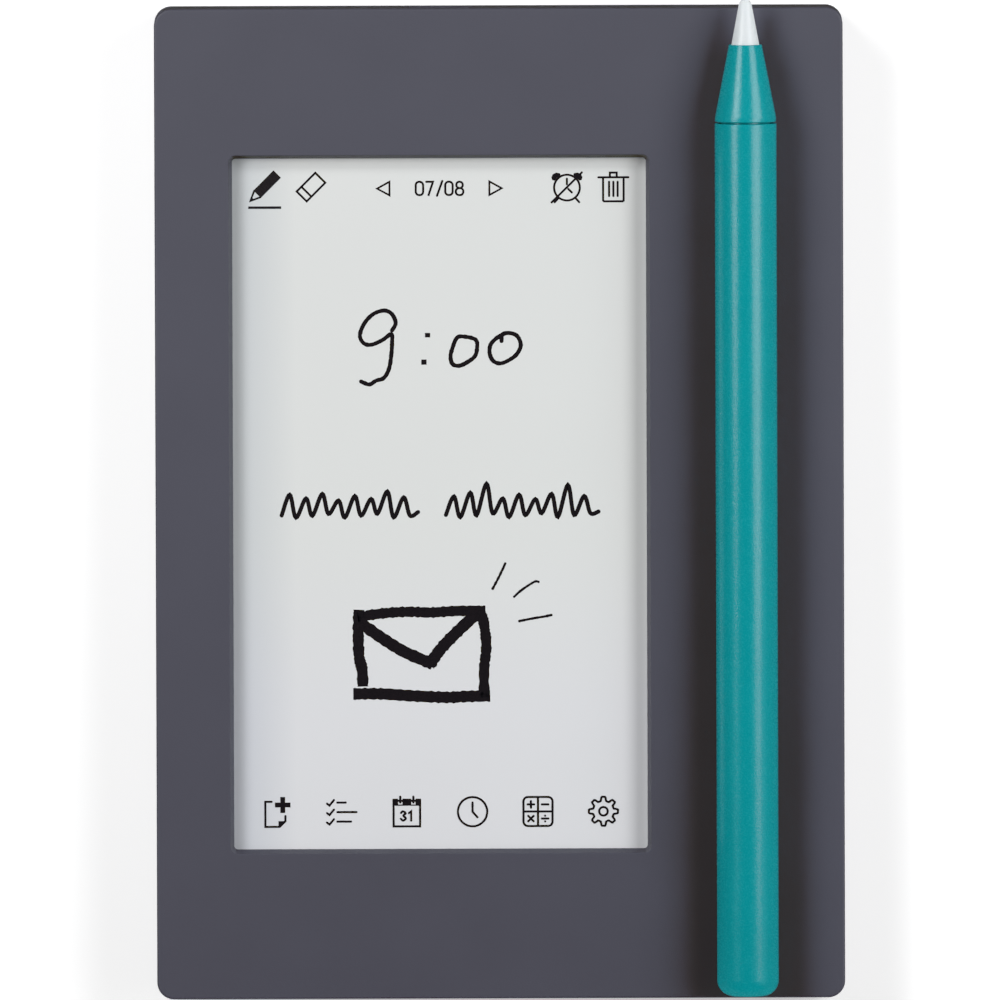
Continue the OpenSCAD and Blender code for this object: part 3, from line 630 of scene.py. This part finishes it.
def make_rear_cover():
    """Shallow tray with a notched lip, round rear edges, recesses, sound holes and a pinhole."""
    lip_outer = WALL + LIP_GAP
    lip_inner = lip_outer + LIP_T
    lip_top = SPLIT_Z + LIP_H
    floor_z = REAR_Z + FLOOR_T
    path = rounded_path([
        (8, REAR_Z, 0), (0, REAR_Z, REAR_ROUND), (0, SPLIT_Z, 0.12), (lip_outer, SPLIT_Z, 0),
        (lip_outer, lip_top, 0.15), (lip_inner, lip_top, 0.15), (lip_inner, floor_z, 0.3),
        (8, floor_z, 0)])
    made = make_object("rear_cover_shell", loft(body_rings(path)))
    post_top = bezel_low.z
    screw_places = four_places("case_screws", CASE_SCREW_R)
    for x, y in screw_places:
        combine(made, "UNION", disc(x, y, BOSS_R, floor_z - 0.3, post_top))
    ease, small_ease = 0.12, 0.15
    recess_top = box_mm("case_screws")[0].z + CASE_SCREW_HEAD_H
    cuts = [eased_hole(x, y, CASE_SCREW_R + 0.3, recess_top, ease) for x, y in screw_places]
    for x, y in four_places("rubber_feet", FOOT_R):
        cuts.append(eased_hole(x, y, FOOT_R + 0.1, box_mm("rubber_feet")[1].z, ease))
    sound = centre_mm("buzzer")
    ring_r = 2.4
    sound_holes = [(sound.x, sound.y)]
    for i in range(6):
        angle = math.pi * i / 3
        sound_holes.append((sound.x + ring_r * math.cos(angle), sound.y + ring_r * math.sin(angle)))
    for x, y in sound_holes:
        cuts.append(eased_hole(x, y, 0.5, floor_z + 1, small_ease, 24))
    reset = centre_mm("reset_plunger")
    cuts.append(eased_hole(reset.x, reset.y, 0.7, floor_z + 1, small_ease, 24))
    combine(made, "DIFFERENCE", merged(cuts))
    shanks = [disc(x, y, 1.2, REAR_Z + 0.5, post_top + 1) for x, y in screw_places]
    combine(made, "DIFFERENCE", merged(shanks))
    notch_start = centre_mm("usb_c_shell").x - 8
    notch_end = centre_mm("power_button").x + 9
    notch_x = (notch_start + notch_end) / 2
    notch_y = BODY_Y + BODY_H / 2 - lip_inner
    notch = rounded_loop(notch_end - notch_start, 1.7, 0.05, notch_x, notch_y, steps=3)
    notch_rings = [[(x, y, z) for x, y in notch] for z in (SPLIT_Z + 0.02, lip_top + 1)]
    combine(made, "DIFFERENCE", loft(notch_rings))
    finish_piece(made, "cover_plastic", "root", ["rear_cover"])


def eased_hole(x, y, radius, top, ease, segments=48):
    """Cutter for a hole up into the rear face, its mouth eased by a small chamfer."""
    below = REAR_Z - 1
    mouth = radius + ease
    path = [(0, below), (mouth, below), (mouth, REAR_Z), (radius, REAR_Z + ease), (radius, top), (0, top)]
    return lathe(path, upright(x, y), segments=segments)


def make_feet():
    low, high = box_mm("rubber_feet")
    hollow = 0.15
    path = rounded_path([(0, hollow, 0), (3.0, hollow, 0), (3.2, 0, 0.1), (FOOT_R, 0, 0.4),
                         (FOOT_R, high.z, 0), (0, high.z, 0)])
    feet = [lathe(path, upright(x, y, low.z)) for x, y in four_places("rubber_feet", FOOT_R)]
    made = make_object("feet", merged(feet))
    finish_piece(made, "rubber", "root", ["rubber_feet"])


def make_case_screws():
    """Screws with a cross recess, which is cut one bar at a time because the bars overlap."""
    low, high = box_mm("case_screws")
    places = four_places("case_screws", CASE_SCREW_R)
    shank_r = 0.95
    length = high.z - low.z
    path = rounded_path([
        (0, 0, 0), (CASE_SCREW_R, 0, 0.35), (CASE_SCREW_R, CASE_SCREW_HEAD_H, 0.1),
        (shank_r, CASE_SCREW_HEAD_H, 0), (shank_r, length, 0.15), (0, length, 0)])
    made = make_object("screws", merged(
        [lathe(path, upright(x, y, low.z), segments=48) for x, y in places]))
    arm, slot_w, deep = 1.0, 0.5, 0.55
    for turn in (0, math.pi / 2):
        cos, sin = math.cos(turn), math.sin(turn)
        cutters = []
        for x, y in places:
            rings = []
            for z, grow in ((low.z - 0.5, 0.1), (low.z + deep, 0)):
                loop = rounded_loop(2 * arm + 2 * grow, slot_w + grow, 0.1, steps=4)
                rings.append([(x + u * cos - v * sin, y + u * sin + v * cos, z) for u, v in loop])
            cutters.append(loft(rings))
        combine(made, "DIFFERENCE", merged(cutters))
    finish_piece(made, "steel", "root", ["case_screws"])


def make_usb_socket():
    """The socket's drawn shell and, inside it, the tongue with its contacts."""
    low, high = box_mm("usb_c_shell")
    mid = centre_mm("usb_c_shell")
    path = rounded_path([(0, low.y, 0), (0, high.y, 0.1), (USB_WALL, high.y, 0.1), (USB_WALL, low.y, 0)])
    rings = rings_along_y(USB_W, USB_H, 1.28, path, mid.x, mid.z)
    shell = make_object("socket_shell", loft(rings, closed=True))
    finish_piece(shell, "nickel", "root", ["usb_c_shell"])
    tongue_low, tongue_high = box_mm("usb_c_tongue")
    root_y = tongue_low.y + 2.0
    tongue_w, tongue_t = 6.7, 0.7
    inner_w, inner_h = USB_W - 2 * USB_WALL, USB_H - 2 * USB_WALL
    parts = [bar(mid.x, mid.z, inner_w, inner_h, 1.0, tongue_low.y, root_y, 0.05),
             bar(mid.x, mid.z, tongue_w, tongue_t, 0.2, root_y - 0.01, tongue_high.y, 0.1)]
    tongue = make_object("socket_tongue", merged(parts))
    finish_piece(tongue, "chip_resin", "root", ["usb_c_tongue"])
    contact_count, contact_pitch = 12, 0.5
    pads = []
    for i in range(contact_count):
        x = mid.x + (i - (contact_count - 1) / 2) * contact_pitch
        for side in (-1, 1):
            z = mid.z + side * tongue_t / 2
            pads.append(bar(x, z, 0.26, 0.06, 0.02, root_y, tongue_high.y - 0.4, 0.02))
    contacts = make_object("socket_contacts", merged(pads))
    finish_piece(contacts, "brass", "root")


def bar(x, z, width, height, radius, y0, y1, ease):
    """Round-cornered bar along Y with its far end eased."""
    path = [(0, y0), (0, y1 - ease), (ease * 0.3, y1 - ease * 0.3), (ease, y1)]
    return loft(rings_along_y(width, height, radius, path, x, z, steps=6))


def make_power_button():
    """Cap with a flange inside the wall and a nub that meets the switch's plunger."""
    low, high = box_mm("power_button")
    mid = centre_mm("power_button")
    flange_y, flange_t, nub = low.y + 0.3, 0.8, 0.3
    cap = rounded_path([(0, flange_y, 0), (0, high.y, 0.3), (1.0, high.y - 0.02, 0)])
    made = make_object("button_cap", merged([
        loft(rings_along_y(BUTTON_W, BUTTON_H, 1.25, cap, mid.x, mid.z)),
        bar(mid.x, mid.z, BUTTON_W + 2, 3.4, 0.6, flange_y, flange_y + flange_t, 0.1),
        bar(mid.x, mid.z, 2.4, 1.6, 0.3, flange_y - nub, flange_y + 0.01, 0.002)]))
    finish_piece(made, "cover_plastic", "power_button", ["power_button"])


# --- stylus ---

barrel_low, barrel_high = box_mm("stylus_barrel")
STYLUS_X = (barrel_low.x + barrel_high.x) / 2
STYLUS_Z = (barrel_low.z + barrel_high.z) / 2
STYLUS_R = (barrel_high.x - barrel_low.x) / 2
NIB_TIP_Y = box_mm("stylus_nib")[1].y
CONE_END_Y = box_mm("stylus_cone")[1].y
COLLAR_L = 0.6
SEAM_GAP = 0.2


def on_stylus(u, v, along):
    return (STYLUS_X + u, along, STYLUS_Z + v)


def make_stylus():
    """Barrel, tapered front and nib, each turned about the stylus's axis."""
    start, lip = barrel_low.y, barrel_high.y
    bore = 3.4
    bore_end = start + 1.8
    barrel = rounded_path([
        (0, start, 0), (STYLUS_R, start, 2.2), (STYLUS_R, lip, 0.14), (bore, lip, 0.1),
        (bore, bore_end, 0.4), (0, bore_end, 0)])
    made = make_object("barrel", lathe(barrel, on_stylus, segments=144))
    finish_piece(made, "stylus_paint", "stylus", ["stylus_barrel"])

    collar = lip + SEAM_GAP
    cone_start = collar + COLLAR_L
    collar_r = STYLUS_R - 0.05
    spigot_r, coil_bore, nib_bore, front_r = 3.35, 2.4, 1.94, 2.2
    spigot_start = box_mm("stylus_cone")[0].y
    nib_seat = CONE_END_Y - 5.66
    cone = rounded_path([
        (coil_bore, spigot_start, 0), (spigot_r, spigot_start, 0.1), (spigot_r, collar, 0),
        (collar_r, collar, 0.14), (collar_r, cone_start, 0.8), (front_r, CONE_END_Y, 0.08),
        (nib_bore, CONE_END_Y, 0.05), (nib_bore, nib_seat, 0), (coil_bore, nib_seat, 0)], closed=True)
    made = make_object("cone", lathe(cone, on_stylus, closed=True, segments=144))
    finish_piece(made, "stylus_front", "stylus", ["stylus_cone"])

    nib_r, tip_r, stem_r = 1.88, 0.9, 0.9
    stem_start = box_mm("stylus_nib")[0].y
    shoulder = CONE_END_Y - 3.56
    slope = (nib_r - tip_r) / (NIB_TIP_Y - tip_r - CONE_END_Y)
    point_r = nib_r - slope * (NIB_TIP_Y - CONE_END_Y)
    nib = rounded_path([
        (0, stem_start, 0), (stem_r, stem_start, 0.1), (stem_r, shoulder, 0), (nib_r, shoulder, 0.1),
        (nib_r, CONE_END_Y, 0.6), (point_r, NIB_TIP_Y, 0.86), (0, NIB_TIP_Y, 0)])
    made = make_object("nib", lathe(nib, on_stylus, segments=96))
    finish_piece(made, "nib_plastic", "nib", ["stylus_nib"])


# --- picture on the screen ---


def smooth_line(points, closed=False, spans=6):
    """A smooth curve through given points."""
    count = len(points)
    ends = count if closed else count - 1
    line = []
    for i in range(ends):
        p = [complex(*points[k % count]) if closed else complex(*points[min(max(k, 0), count - 1)])
             for k in range(i - 1, i + 3)]
        for step in range(spans):
            t = step / spans
            line.append(0.5 * (2 * p[1] + (p[2] - p[0]) * t
                               + (2 * p[0] - 5 * p[1] + 4 * p[2] - p[3]) * t ** 2
                               + (3 * p[1] - p[0] - 3 * p[2] + p[3]) * t ** 3))
    if not closed:
        line.append(complex(*points[-1]))
    return [(p.real, p.imag) for p in line]


def circle_points(x, y, radius, steps=48):
    angles = [math.radians(360 * i / steps) for i in range(steps)]
    return [(x + radius * math.cos(angle), y + radius * math.sin(angle)) for angle in angles]


def round_end(section, half, side):
    """Sections that carry a stroke's end out in a half round."""
    steps = 5
    here, heading = section[:2]
    angles = [math.pi / 2 * (i + 1) / (steps + 0.3) for i in range(steps)]
    return [(here + heading * side * half * math.sin(angle), heading, half * math.cos(angle))
            for angle in angles]


def unevenness(point):
    """A shake between -1 and 1 that depends only on the place."""
    x, y = point.real, point.imag
    return (math.sin(9.1 * x + 4.3 * y) + math.sin(5.7 * x - 12.3 * y)) / 2


class Ink:
    """Strokes and fills on the film, in millimetres from the screen's centre, gathered into one mesh.

    Each one stands a little higher than the last, and a stroke rises a little along its length, so no two
    of their tops lie in one plane where they cross.
    """

    LINE = 0.28
    SUNK = 0.003
    THICK = 0.012
    STEP = 0.0006
    RISE = 0.004

    def __init__(self):
        self.parts = []
        self.move_to(0, 0)

    def move_to(self, x, y, turn=0, size=1.0):
        self.origin = complex(x, y)
        self.turn = cmath.exp(1j * math.radians(turn)) * size

    def placed(self, point):
        spot = self.origin + self.turn * complex(*point)
        return WINDOW_X + spot.real, WINDOW_Y + spot.imag

    def top(self):
        return FILM_Z + self.THICK + self.STEP * len(self.parts)

    def fill(self, points):
        outline = [self.placed(p) for p in points]
        top = self.top()
        self.parts.append(loft([[(x, y, FILM_Z - self.SUNK) for x, y in outline],
                                [(x, y, top) for x, y in outline]]))

    def block(self, x0, y0, x1, y1):
        self.fill([(x0, y0), (x1, y0), (x1, y1), (x0, y1)])

    def dot(self, x, y, radius):
        self.fill(circle_points(x, y, radius, steps=20))

    def stroke(self, points, width=LINE, closed=False, square=False, wobble=0.0):
        """A line of that width along points, with round ends unless square; wobble makes it uneven."""
        line = [complex(*self.placed(p)) for p in points]
        count = len(line)
        sections = []
        for i, here in enumerate(line):
            before = line[i - 1] if closed or i else None
            after = line[(i + 1) % count] if closed or i < count - 1 else None
            into = (here - before) / abs(here - before) if before is not None else None
            out = (after - here) / abs(after - here) if after is not None else None
            into, out = into or out, out or into
            heading = (into + out) / abs(into + out) if abs(into + out) > 1e-6 else into
            mitre = max((heading.conjugate() * into).real, 0.5)
            half = width / 2 + wobble * unevenness(here)
            sections.append((here, heading, half / mitre))
        if not closed and not square:
            sections = (round_end(sections[0], sections[0][2], -1)[::-1] + sections
                        + round_end(sections[-1], sections[-1][2], 1))
        rings = []
        low, top = FILM_Z - self.SUNK, self.top()
        for i, (here, heading, reach) in enumerate(sections):
            left, right = here + heading * 1j * reach, here - heading * 1j * reach
            high = top + self.RISE * i / len(sections)
            rings.append([(left.real, left.imag, low), (right.real, right.imag, low),
                          (right.real, right.imag, high), (left.real, left.imag, high)])
        self.parts.append(loft(rings, closed))

    def piece(self, name, material="screen_ink"):
        made = make_object(name, merged(self.parts))
        finish_piece(made, material, "root")


TOP_ROW = 42.7
BOTTOM_ROW = -41.8
BOTTOM_SHIFT = -0.15
ICON_PITCH = 8.85


def draw_zero(ink):
    ink.stroke(rounded_loop(1.0, 1.8, 0.46, steps=6), closed=True)


def draw_one(ink):
    ink.stroke([(-0.32, 0.55), (0.12, 0.9), (0.12, -0.9)])


def draw_three(ink):
    ink.stroke(smooth_line([(-0.45, 0.6), (-0.1, 0.9), (0.42, 0.5), (0.0, 0.06), (0.46, -0.45),
                            (-0.05, -0.9), (-0.5, -0.55)]))


def draw_seven(ink):
    ink.stroke([(-0.46, 0.9), (0.44, 0.9), (-0.16, -0.9)])


def draw_eight(ink):
    ink.stroke(rounded_loop(0.86, 0.86, 0.4, 0, 0.46, steps=6), closed=True)
    ink.stroke(rounded_loop(1.02, 0.94, 0.44, 0, -0.44, steps=6), closed=True)


def draw_pencil(ink):
    ink.move_to(-23.75, TOP_ROW, 45)
    ink.block(-1.15, -0.71, 2.7, 0.71)
    ink.stroke([(-1.1, 0.6), (-2.45, 0), (-1.1, -0.6)])
    ink.fill([(-2.6, 0), (-1.95, -0.3), (-1.95, 0.3)])
    ink.move_to(-23.55, TOP_ROW)
    ink.block(-2.22, -2.8, 2.23, -2.46)


def draw_eraser(ink):
    ink.move_to(-17.28, TOP_ROW + 0.13, 45)
    ink.stroke([(-1.78, -0.95), (1.78, -0.95), (1.78, 0.95), (-1.78, 0.95)], closed=True)
    ink.stroke([(-0.88, -0.95), (-0.88, 0.95)], square=True)


def draw_page_turner(ink):
    middle = TOP_ROW - 0.1
    for side in (-1, 1):
        ink.move_to(7.55 * side + 0.07, middle)
        ink.stroke([(0.87 * side, 0), (-0.8 * side, 0.92), (-0.8 * side, -0.92)], 0.25, closed=True)
    for x, draw in ((-2.63, draw_zero), (-1.24, draw_seven), (1.36, draw_zero), (2.79, draw_eight)):
        ink.move_to(x, middle)
        draw(ink)
    ink.move_to(0.1, middle)
    ink.stroke([(-0.36, -1.0), (0.36, 1.0)])


def draw_silent_alarm(ink):
    ink.move_to(17.3, TOP_ROW - 0.05)
    ink.stroke(circle_points(0, 0, 1.74), closed=True)
    ink.stroke([(0, 1.2), (0, 0.45)])
    ink.stroke([(0.18, -0.18), (0.66, -0.66)])
    for side in (-1, 1):
        ink.fill([(side * x, y) for x, y in (
            (0.85, 1.7), (0.95, 1.95), (1.45, 2.03), (1.9, 1.82), (2.1, 1.4), (1.98, 1.02), (1.65, 0.95),
            (1.35, 1.33))])
        ink.stroke([(side * 1.2, -1.45), (side * 1.66, -1.98)])
    ink.stroke([(-2.08, -2.0), (2.02, 2.05)])


def draw_bin(ink):
    ink.move_to(23.57, TOP_ROW)
    ink.stroke([(-2.02, 1.33), (2.02, 1.33)])
    ink.stroke([(-0.46, 1.35), (-0.46, 1.96), (0.46, 1.96), (0.46, 1.35)], square=True)
    ink.stroke([(-1.39, 1.33), (-1.39, -1.8), (-1.25, -1.92), (1.25, -1.92), (1.39, -1.8),
                (1.39, 1.33)], square=True)
    for x in (-0.58, 0, 0.58):
        ink.stroke([(x, 0.72), (x, -1.2)])


def draw_new_page(ink):
    ink.stroke([(-0.62, 1.42), (-1.47, 1.42), (-1.47, -1.98), (0.45, -1.98), (1.24, -1.2), (1.24, -0.52)])
    ink.fill([(0.3, -2.05), (0.5, -2.05), (1.3, -1.2), (0.3, -1.2)])
    ink.block(-0.17, 0.67, 1.93, 1.31)
    ink.block(0.56, -0.09, 1.2, 2.07)


def draw_checklist(ink):
    for y, end in ((1.29, 0.56), (0.0, 2.0), (-1.29, 1.26)):
        ink.stroke([(-1.98, y - 0.13), (-1.65, y - 0.4), (-1.04, y + 0.34)])
        ink.stroke([(-0.58, y), (end, y)])


def draw_calendar(ink):
    ink.stroke([(-1.83, 1.5), (-1.83, -1.96), (1.75, -1.96), (1.75, 1.5)], closed=True)
    band_low, notch_low, band_high = 0.84, 1.0, 1.78
    posts = (-0.92, 0.85)
    edges = [-1.96, *[edge for post in posts for edge in (post - 0.3, post + 0.3)], 1.88]
    for left, right in zip(edges[0::2], edges[1::2]):
        ink.block(left, band_low, right, band_high)
    ink.block(-1.8, band_low, 1.8, notch_low)
    for post in posts:
        ink.stroke([(post, 2.05), (post, 1.28)], 0.3)
    row, column = ink.origin.imag, ink.origin.real
    for x, draw in ((-0.5, draw_three), (0.46, draw_one)):
        ink.move_to(column + x, row - 0.55, size=0.7)
        draw(ink)


def draw_clock(ink):
    ink.stroke(circle_points(0, 0, 1.98), closed=True)
    ink.stroke([(0, 1.25), (0, 0), (0.66, -0.76)])


def draw_calculator(ink):
    ink.stroke(rounded_loop(3.93, 3.93, 0.6, steps=6), closed=True)
    ink.stroke([(-1.96, 0), (1.96, 0)], square=True)
    ink.stroke([(0, -1.96), (0, 1.96)], square=True)
    offset, arm = 0.96, 0.44
    for x, y in ((-offset, offset), (offset, offset), (offset, -offset)):
        ink.stroke([(x - arm, y), (x + arm, y)])
    ink.stroke([(-offset, offset - arm), (-offset, offset + arm)])
    for side in (-1, 1):
        ink.stroke([(-offset - 0.36, -offset - 0.36 * side), (-offset + 0.36, -offset + 0.36 * side)])
        ink.dot(offset, -offset + 0.38 * side, 0.14)


def draw_gear(ink):
    teeth, root_r, flank_r, tip_r = 8, 1.45, 1.85, 1.97
    tooth = ((-14.5, root_r), (-9, flank_r), (-6, tip_r), (6, tip_r), (9, flank_r), (14.5, root_r))
    outline = []
    for i in range(teeth):
        for angle, radius in tooth:
            turn = math.radians(90 + 360 / teeth * i + angle)
            outline.append((radius * math.cos(turn), radius * math.sin(turn)))
        middle = math.radians(90 + 360 / teeth * (i + 0.5))
        outline.append((root_r * 0.97 * math.cos(middle), root_r * 0.97 * math.sin(middle)))
    ink.stroke(outline, closed=True)
    ink.stroke(circle_points(0, 0, 0.58, steps=24), closed=True)


def draw_icons():
    pencil = Ink()
    draw_pencil(pencil)
    pencil.piece("screen_pencil", "toned_ink")
    ink = Ink()
    for draw in (draw_eraser, draw_page_turner, draw_silent_alarm, draw_bin):
        draw(ink)
    bottom = (draw_new_page, draw_checklist, draw_calendar, draw_clock, draw_calculator, draw_gear)
    for i, draw in enumerate(bottom):
        ink.move_to((i - 2.5) * ICON_PITCH + BOTTOM_SHIFT, BOTTOM_ROW)
        draw(ink)
    ink.piece("screen_icons")


PEN = 0.56
FINE_PEN = 0.33
PEN_WOBBLE = 0.03
BROAD_WOBBLE = 0.09


def draw_time_note():
    """The hour, written by hand in figures."""
    ink = Ink()
    nine = [(-6.4, 23.4), (-5.9, 24.4), (-6.4, 25.6), (-7.4, 26.1), (-8.8, 25.7), (-9.9, 24.7),
            (-10.6, 23.4), (-10.7, 22.4), (-10.1, 21.6), (-9.1, 21.5), (-7.7, 22.1), (-6.5, 22.9),
            (-6.4, 21.7), (-6.5, 20.2), (-6.8, 18.3), (-7.5, 17.0), (-8.6, 16.6), (-9.5, 16.1),
            (-10.6, 16.5)]
    first = [(2.4, 22.4), (3.6, 22.5), (4.9, 22.1), (5.1, 21.1), (4.8, 19.9), (3.8, 19.1), (2.7, 18.6),
             (1.8, 18.8), (1.5, 19.7), (1.7, 20.8)]
    second = [(8.4, 21.9), (8.5, 22.8), (9.5, 23.0), (10.5, 22.6), (11.0, 21.4), (10.5, 20.2),
              (9.5, 19.4), (8.3, 18.9), (7.3, 19.2), (6.8, 20.2), (6.9, 21.4), (7.7, 22.3), (8.6, 22.8)]
    ink.stroke(smooth_line(nine), PEN, wobble=PEN_WOBBLE)
    ink.stroke(smooth_line(first, closed=True), PEN, closed=True, wobble=PEN_WOBBLE)
    ink.stroke(smooth_line(second), PEN, wobble=PEN_WOBBLE)
    ink.block(-1.95, 22.45, -1.25, 23.05)
    ink.block(-2.45, 18.75, -1.75, 19.45)
    ink.piece("screen_time_note")


def scribble(start, base, pitch, peaks):
    """Up-and-down pen line: a plain wave that stands for a written word and spells nothing."""
    points = [(start, base + 0.4)]
    for i, peak in enumerate(peaks):
        x = start + pitch * (i + 0.5)
        points += [(x, base + peak), (x + pitch * 0.38, base + 0.1 + 0.25 * (i % 3))]
    points.append((points[-1][0] + pitch * 0.5, base + 0.8))
    return smooth_line(points, spans=8)


def draw_word_lines():
    ink = Ink()
    ink.stroke(scribble(-21.4, -2.0, 2.2, [3.2, 2.7, 3.3, 2.4, 3.0, 2.6, 3.6, 2.8]), PEN)
    ink.stroke(scribble(0.8, -2.0, 2.2, [2.9, 3.4, 4.6, 2.6, 3.1, 2.5, 3.2, 4.4, 2.9]), PEN)
    ink.piece("screen_word_lines")


def draw_envelope():
    """A quick envelope in a broad pen, with three fine rays; each side has its own width."""
    ink = Ink()
    sides = [
        ([(-11.0, -14.4), (-11.1, -17.6), (-11.0, -20.7), (-10.6, -22.5), (-10.5, -24.8)], 1.5),
        ([(-11.2, -15.4), (-9.4, -15.1), (-6.7, -14.8), (-4.0, -14.7), (-1.3, -14.8), (2.3, -14.6),
          (6.1, -14.6)], 1.4),
        ([(5.0, -14.3), (5.6, -15.2), (6.0, -17.0), (6.2, -19.6), (5.9, -22.5), (5.9, -26.3)], 1.4),
        ([(-11.8, -25.8), (-8.1, -25.8), (-3.6, -26.1), (0.9, -26.3), (3.2, -26.2), (6.7, -26.1)], 1.55),
        ([(-10.9, -16.1), (-8.1, -18.1), (-4.9, -20.1), (-1.0, -21.8)], 1.6),
        ([(-1.5, -22.0), (0.0, -19.8), (2.3, -17.4), (5.0, -14.9)], 1.6),
    ]
    for points, width in sides:
        ink.stroke(smooth_line(points, spans=10), width, square=True, wobble=BROAD_WOBBLE)
    rays = [
        [(7.1, -11.6), (8.0, -9.9), (8.8, -8.2)],
        [(10.0, -12.7), (11.0, -11.8), (12.7, -10.7), (13.3, -10.7)],
        [(10.7, -16.0), (12.2, -15.7), (14.0, -15.4), (15.0, -15.2)],
    ]
    for ray in rays:
        ink.stroke(smooth_line(ray), FINE_PEN, wobble=PEN_WOBBLE)
    ink.piece("screen_envelope")


# --- room, light and camera ---


def make_floor():
    """A pale sheet that glows a little, set just below the feet so that no two faces share a plane."""
    half, drop = 40.0, 0.00002
    mesh = bpy.data.meshes.new("floor")
    corners = [(-half, -half, 0), (half, -half, 0), (half, half, 0), (-half, half, 0)]
    mesh.from_pydata(corners, [], [(0, 1, 2, 3)])
    floor = add_object("floor", mesh)
    pale = Finish("floor_paper", Base_Color=(0.85, 0.85, 0.85), Roughness=0.9, Specular_IOR_Level=0.1,
                  Emission_Color=(1.0, 1.0, 1.0), Emission_Strength=0.42)
    mesh.materials.append(pale.material)
    floor.location.z = -drop
    floor.visible_glossy = False


def add_softbox(name, lean, rise, size, power, twist=0.0):
    """Area light that faces the object, leaning from overhead towards +X and +Y by angles in degrees."""
    distance = 0.5
    light = bpy.data.lights.new(name, "AREA")
    light.shape = "RECTANGLE"
    light.size, light.size_y = size
    light.energy = power
    lamp = add_object(name, light)
    lean, rise, twist = math.radians(lean), math.radians(rise), math.radians(twist)
    back = Vector((math.sin(lean) * math.cos(rise), math.sin(rise), math.cos(lean) * math.cos(rise)))
    along = (Vector((0, 1, 0)) - back * back.y).normalized()
    lamp.location = back * distance + Vector((0, 0, FACE_Z * MM))
    lamp.visible_camera = False
    lamp.rotation_mode = "QUATERNION"
    facing = Matrix((along.cross(back), along, back)).transposed()
    lamp.rotation_quaternion = (facing @ Matrix.Rotation(twist, 3, "Z")).to_quaternion()
    return lamp


def light_scene():
    """Two softboxes above, a weak one low at the side, and a strip that lights one end wall.

    The strip lies below the face, so it reaches only the end wall opposite the nib.
    """
    world = bpy.data.worlds.new("studio")
    bpy.context.scene.world = world
    world.use_nodes = True
    world.node_tree.nodes["Background"].inputs["Color"].default_value = (1.0, 1.0, 1.0, 1.0)
    world.node_tree.nodes["Background"].inputs["Strength"].default_value = 0.075
    add_softbox("softbox_left", -36.5, 21, (0.18, 0.4), 1.74, twist=-15)
    add_softbox("softbox_right", 45, 14, (0.25, 0.38), 1.58, twist=-25)
    add_softbox("softbox_side", 62, -12, (0.22, 0.34), 0.16)
    strip = add_softbox("strip_front", 0, -90.65, (0.5, 0.009), 1.2)
    strip.visible_glossy = False


def place_camera():
    """Long lens almost straight above, leaning towards the nib's end, as the product was shot."""
    distance = 5.5
    tilt, roll = math.radians(3.3), math.radians(-0.185)
    view_width = 0.1351
    target = Vector((BODY_X + 0.04, BODY_Y + 0.51, FACE_Z)) * MM
    camera_data = bpy.data.cameras.new("camera")
    camera_data.sensor_width = 36
    camera_data.lens = camera_data.sensor_width * distance / view_width
    camera_data.clip_start = 0.1
    camera_data.clip_end = 100
    camera = add_object("camera", camera_data)
    back = Vector((0, math.sin(tilt), math.cos(tilt)))
    camera.location = target + back * distance
    camera.rotation_euler = (Matrix.Rotation(-tilt, 3, "X") @ Matrix.Rotation(roll, 3, "Z")).to_euler()
    bpy.context.scene.camera = camera


def set_colours():
    """Plain display colours, with more contrast and less blue in the darks, as in a product shot."""
    green, blue, combined = 1, 2, 3
    view = bpy.context.scene.view_settings
    view.view_transform = "Standard"
    view.look = "None"
    view.use_curve_mapping = True
    grades = {
        combined: ((0.02, 0.012), (0.04, 0.027), (0.06, 0.055), (0.085, 0.085), (0.14, 0.141),
                   (0.5, 0.5)),
        green: ((0.016, 0.015), (0.034, 0.028), (0.044, 0.039), (0.053, 0.0495), (0.072, 0.072),
                (0.2, 0.2)),
        blue: ((0.016, 0.0155), (0.034, 0.027), (0.05, 0.0355), (0.061, 0.047), (0.074, 0.066),
               (0.091, 0.091), (0.2, 0.2)),
    }
    for channel, points in grades.items():
        for value, shown in points:
            view.curve_mapping.curves[channel].points.new(value, shown)
    view.curve_mapping.update()


place_camera()
set_colours()
light_scene()
make_floor()
paint_cad_nodes()
make_front_bezel()
make_rear_cover()
make_feet()
make_case_screws()
make_usb_socket()
make_power_button()
make_stylus()
draw_icons()
draw_time_note()
draw_word_lines()
draw_envelope()
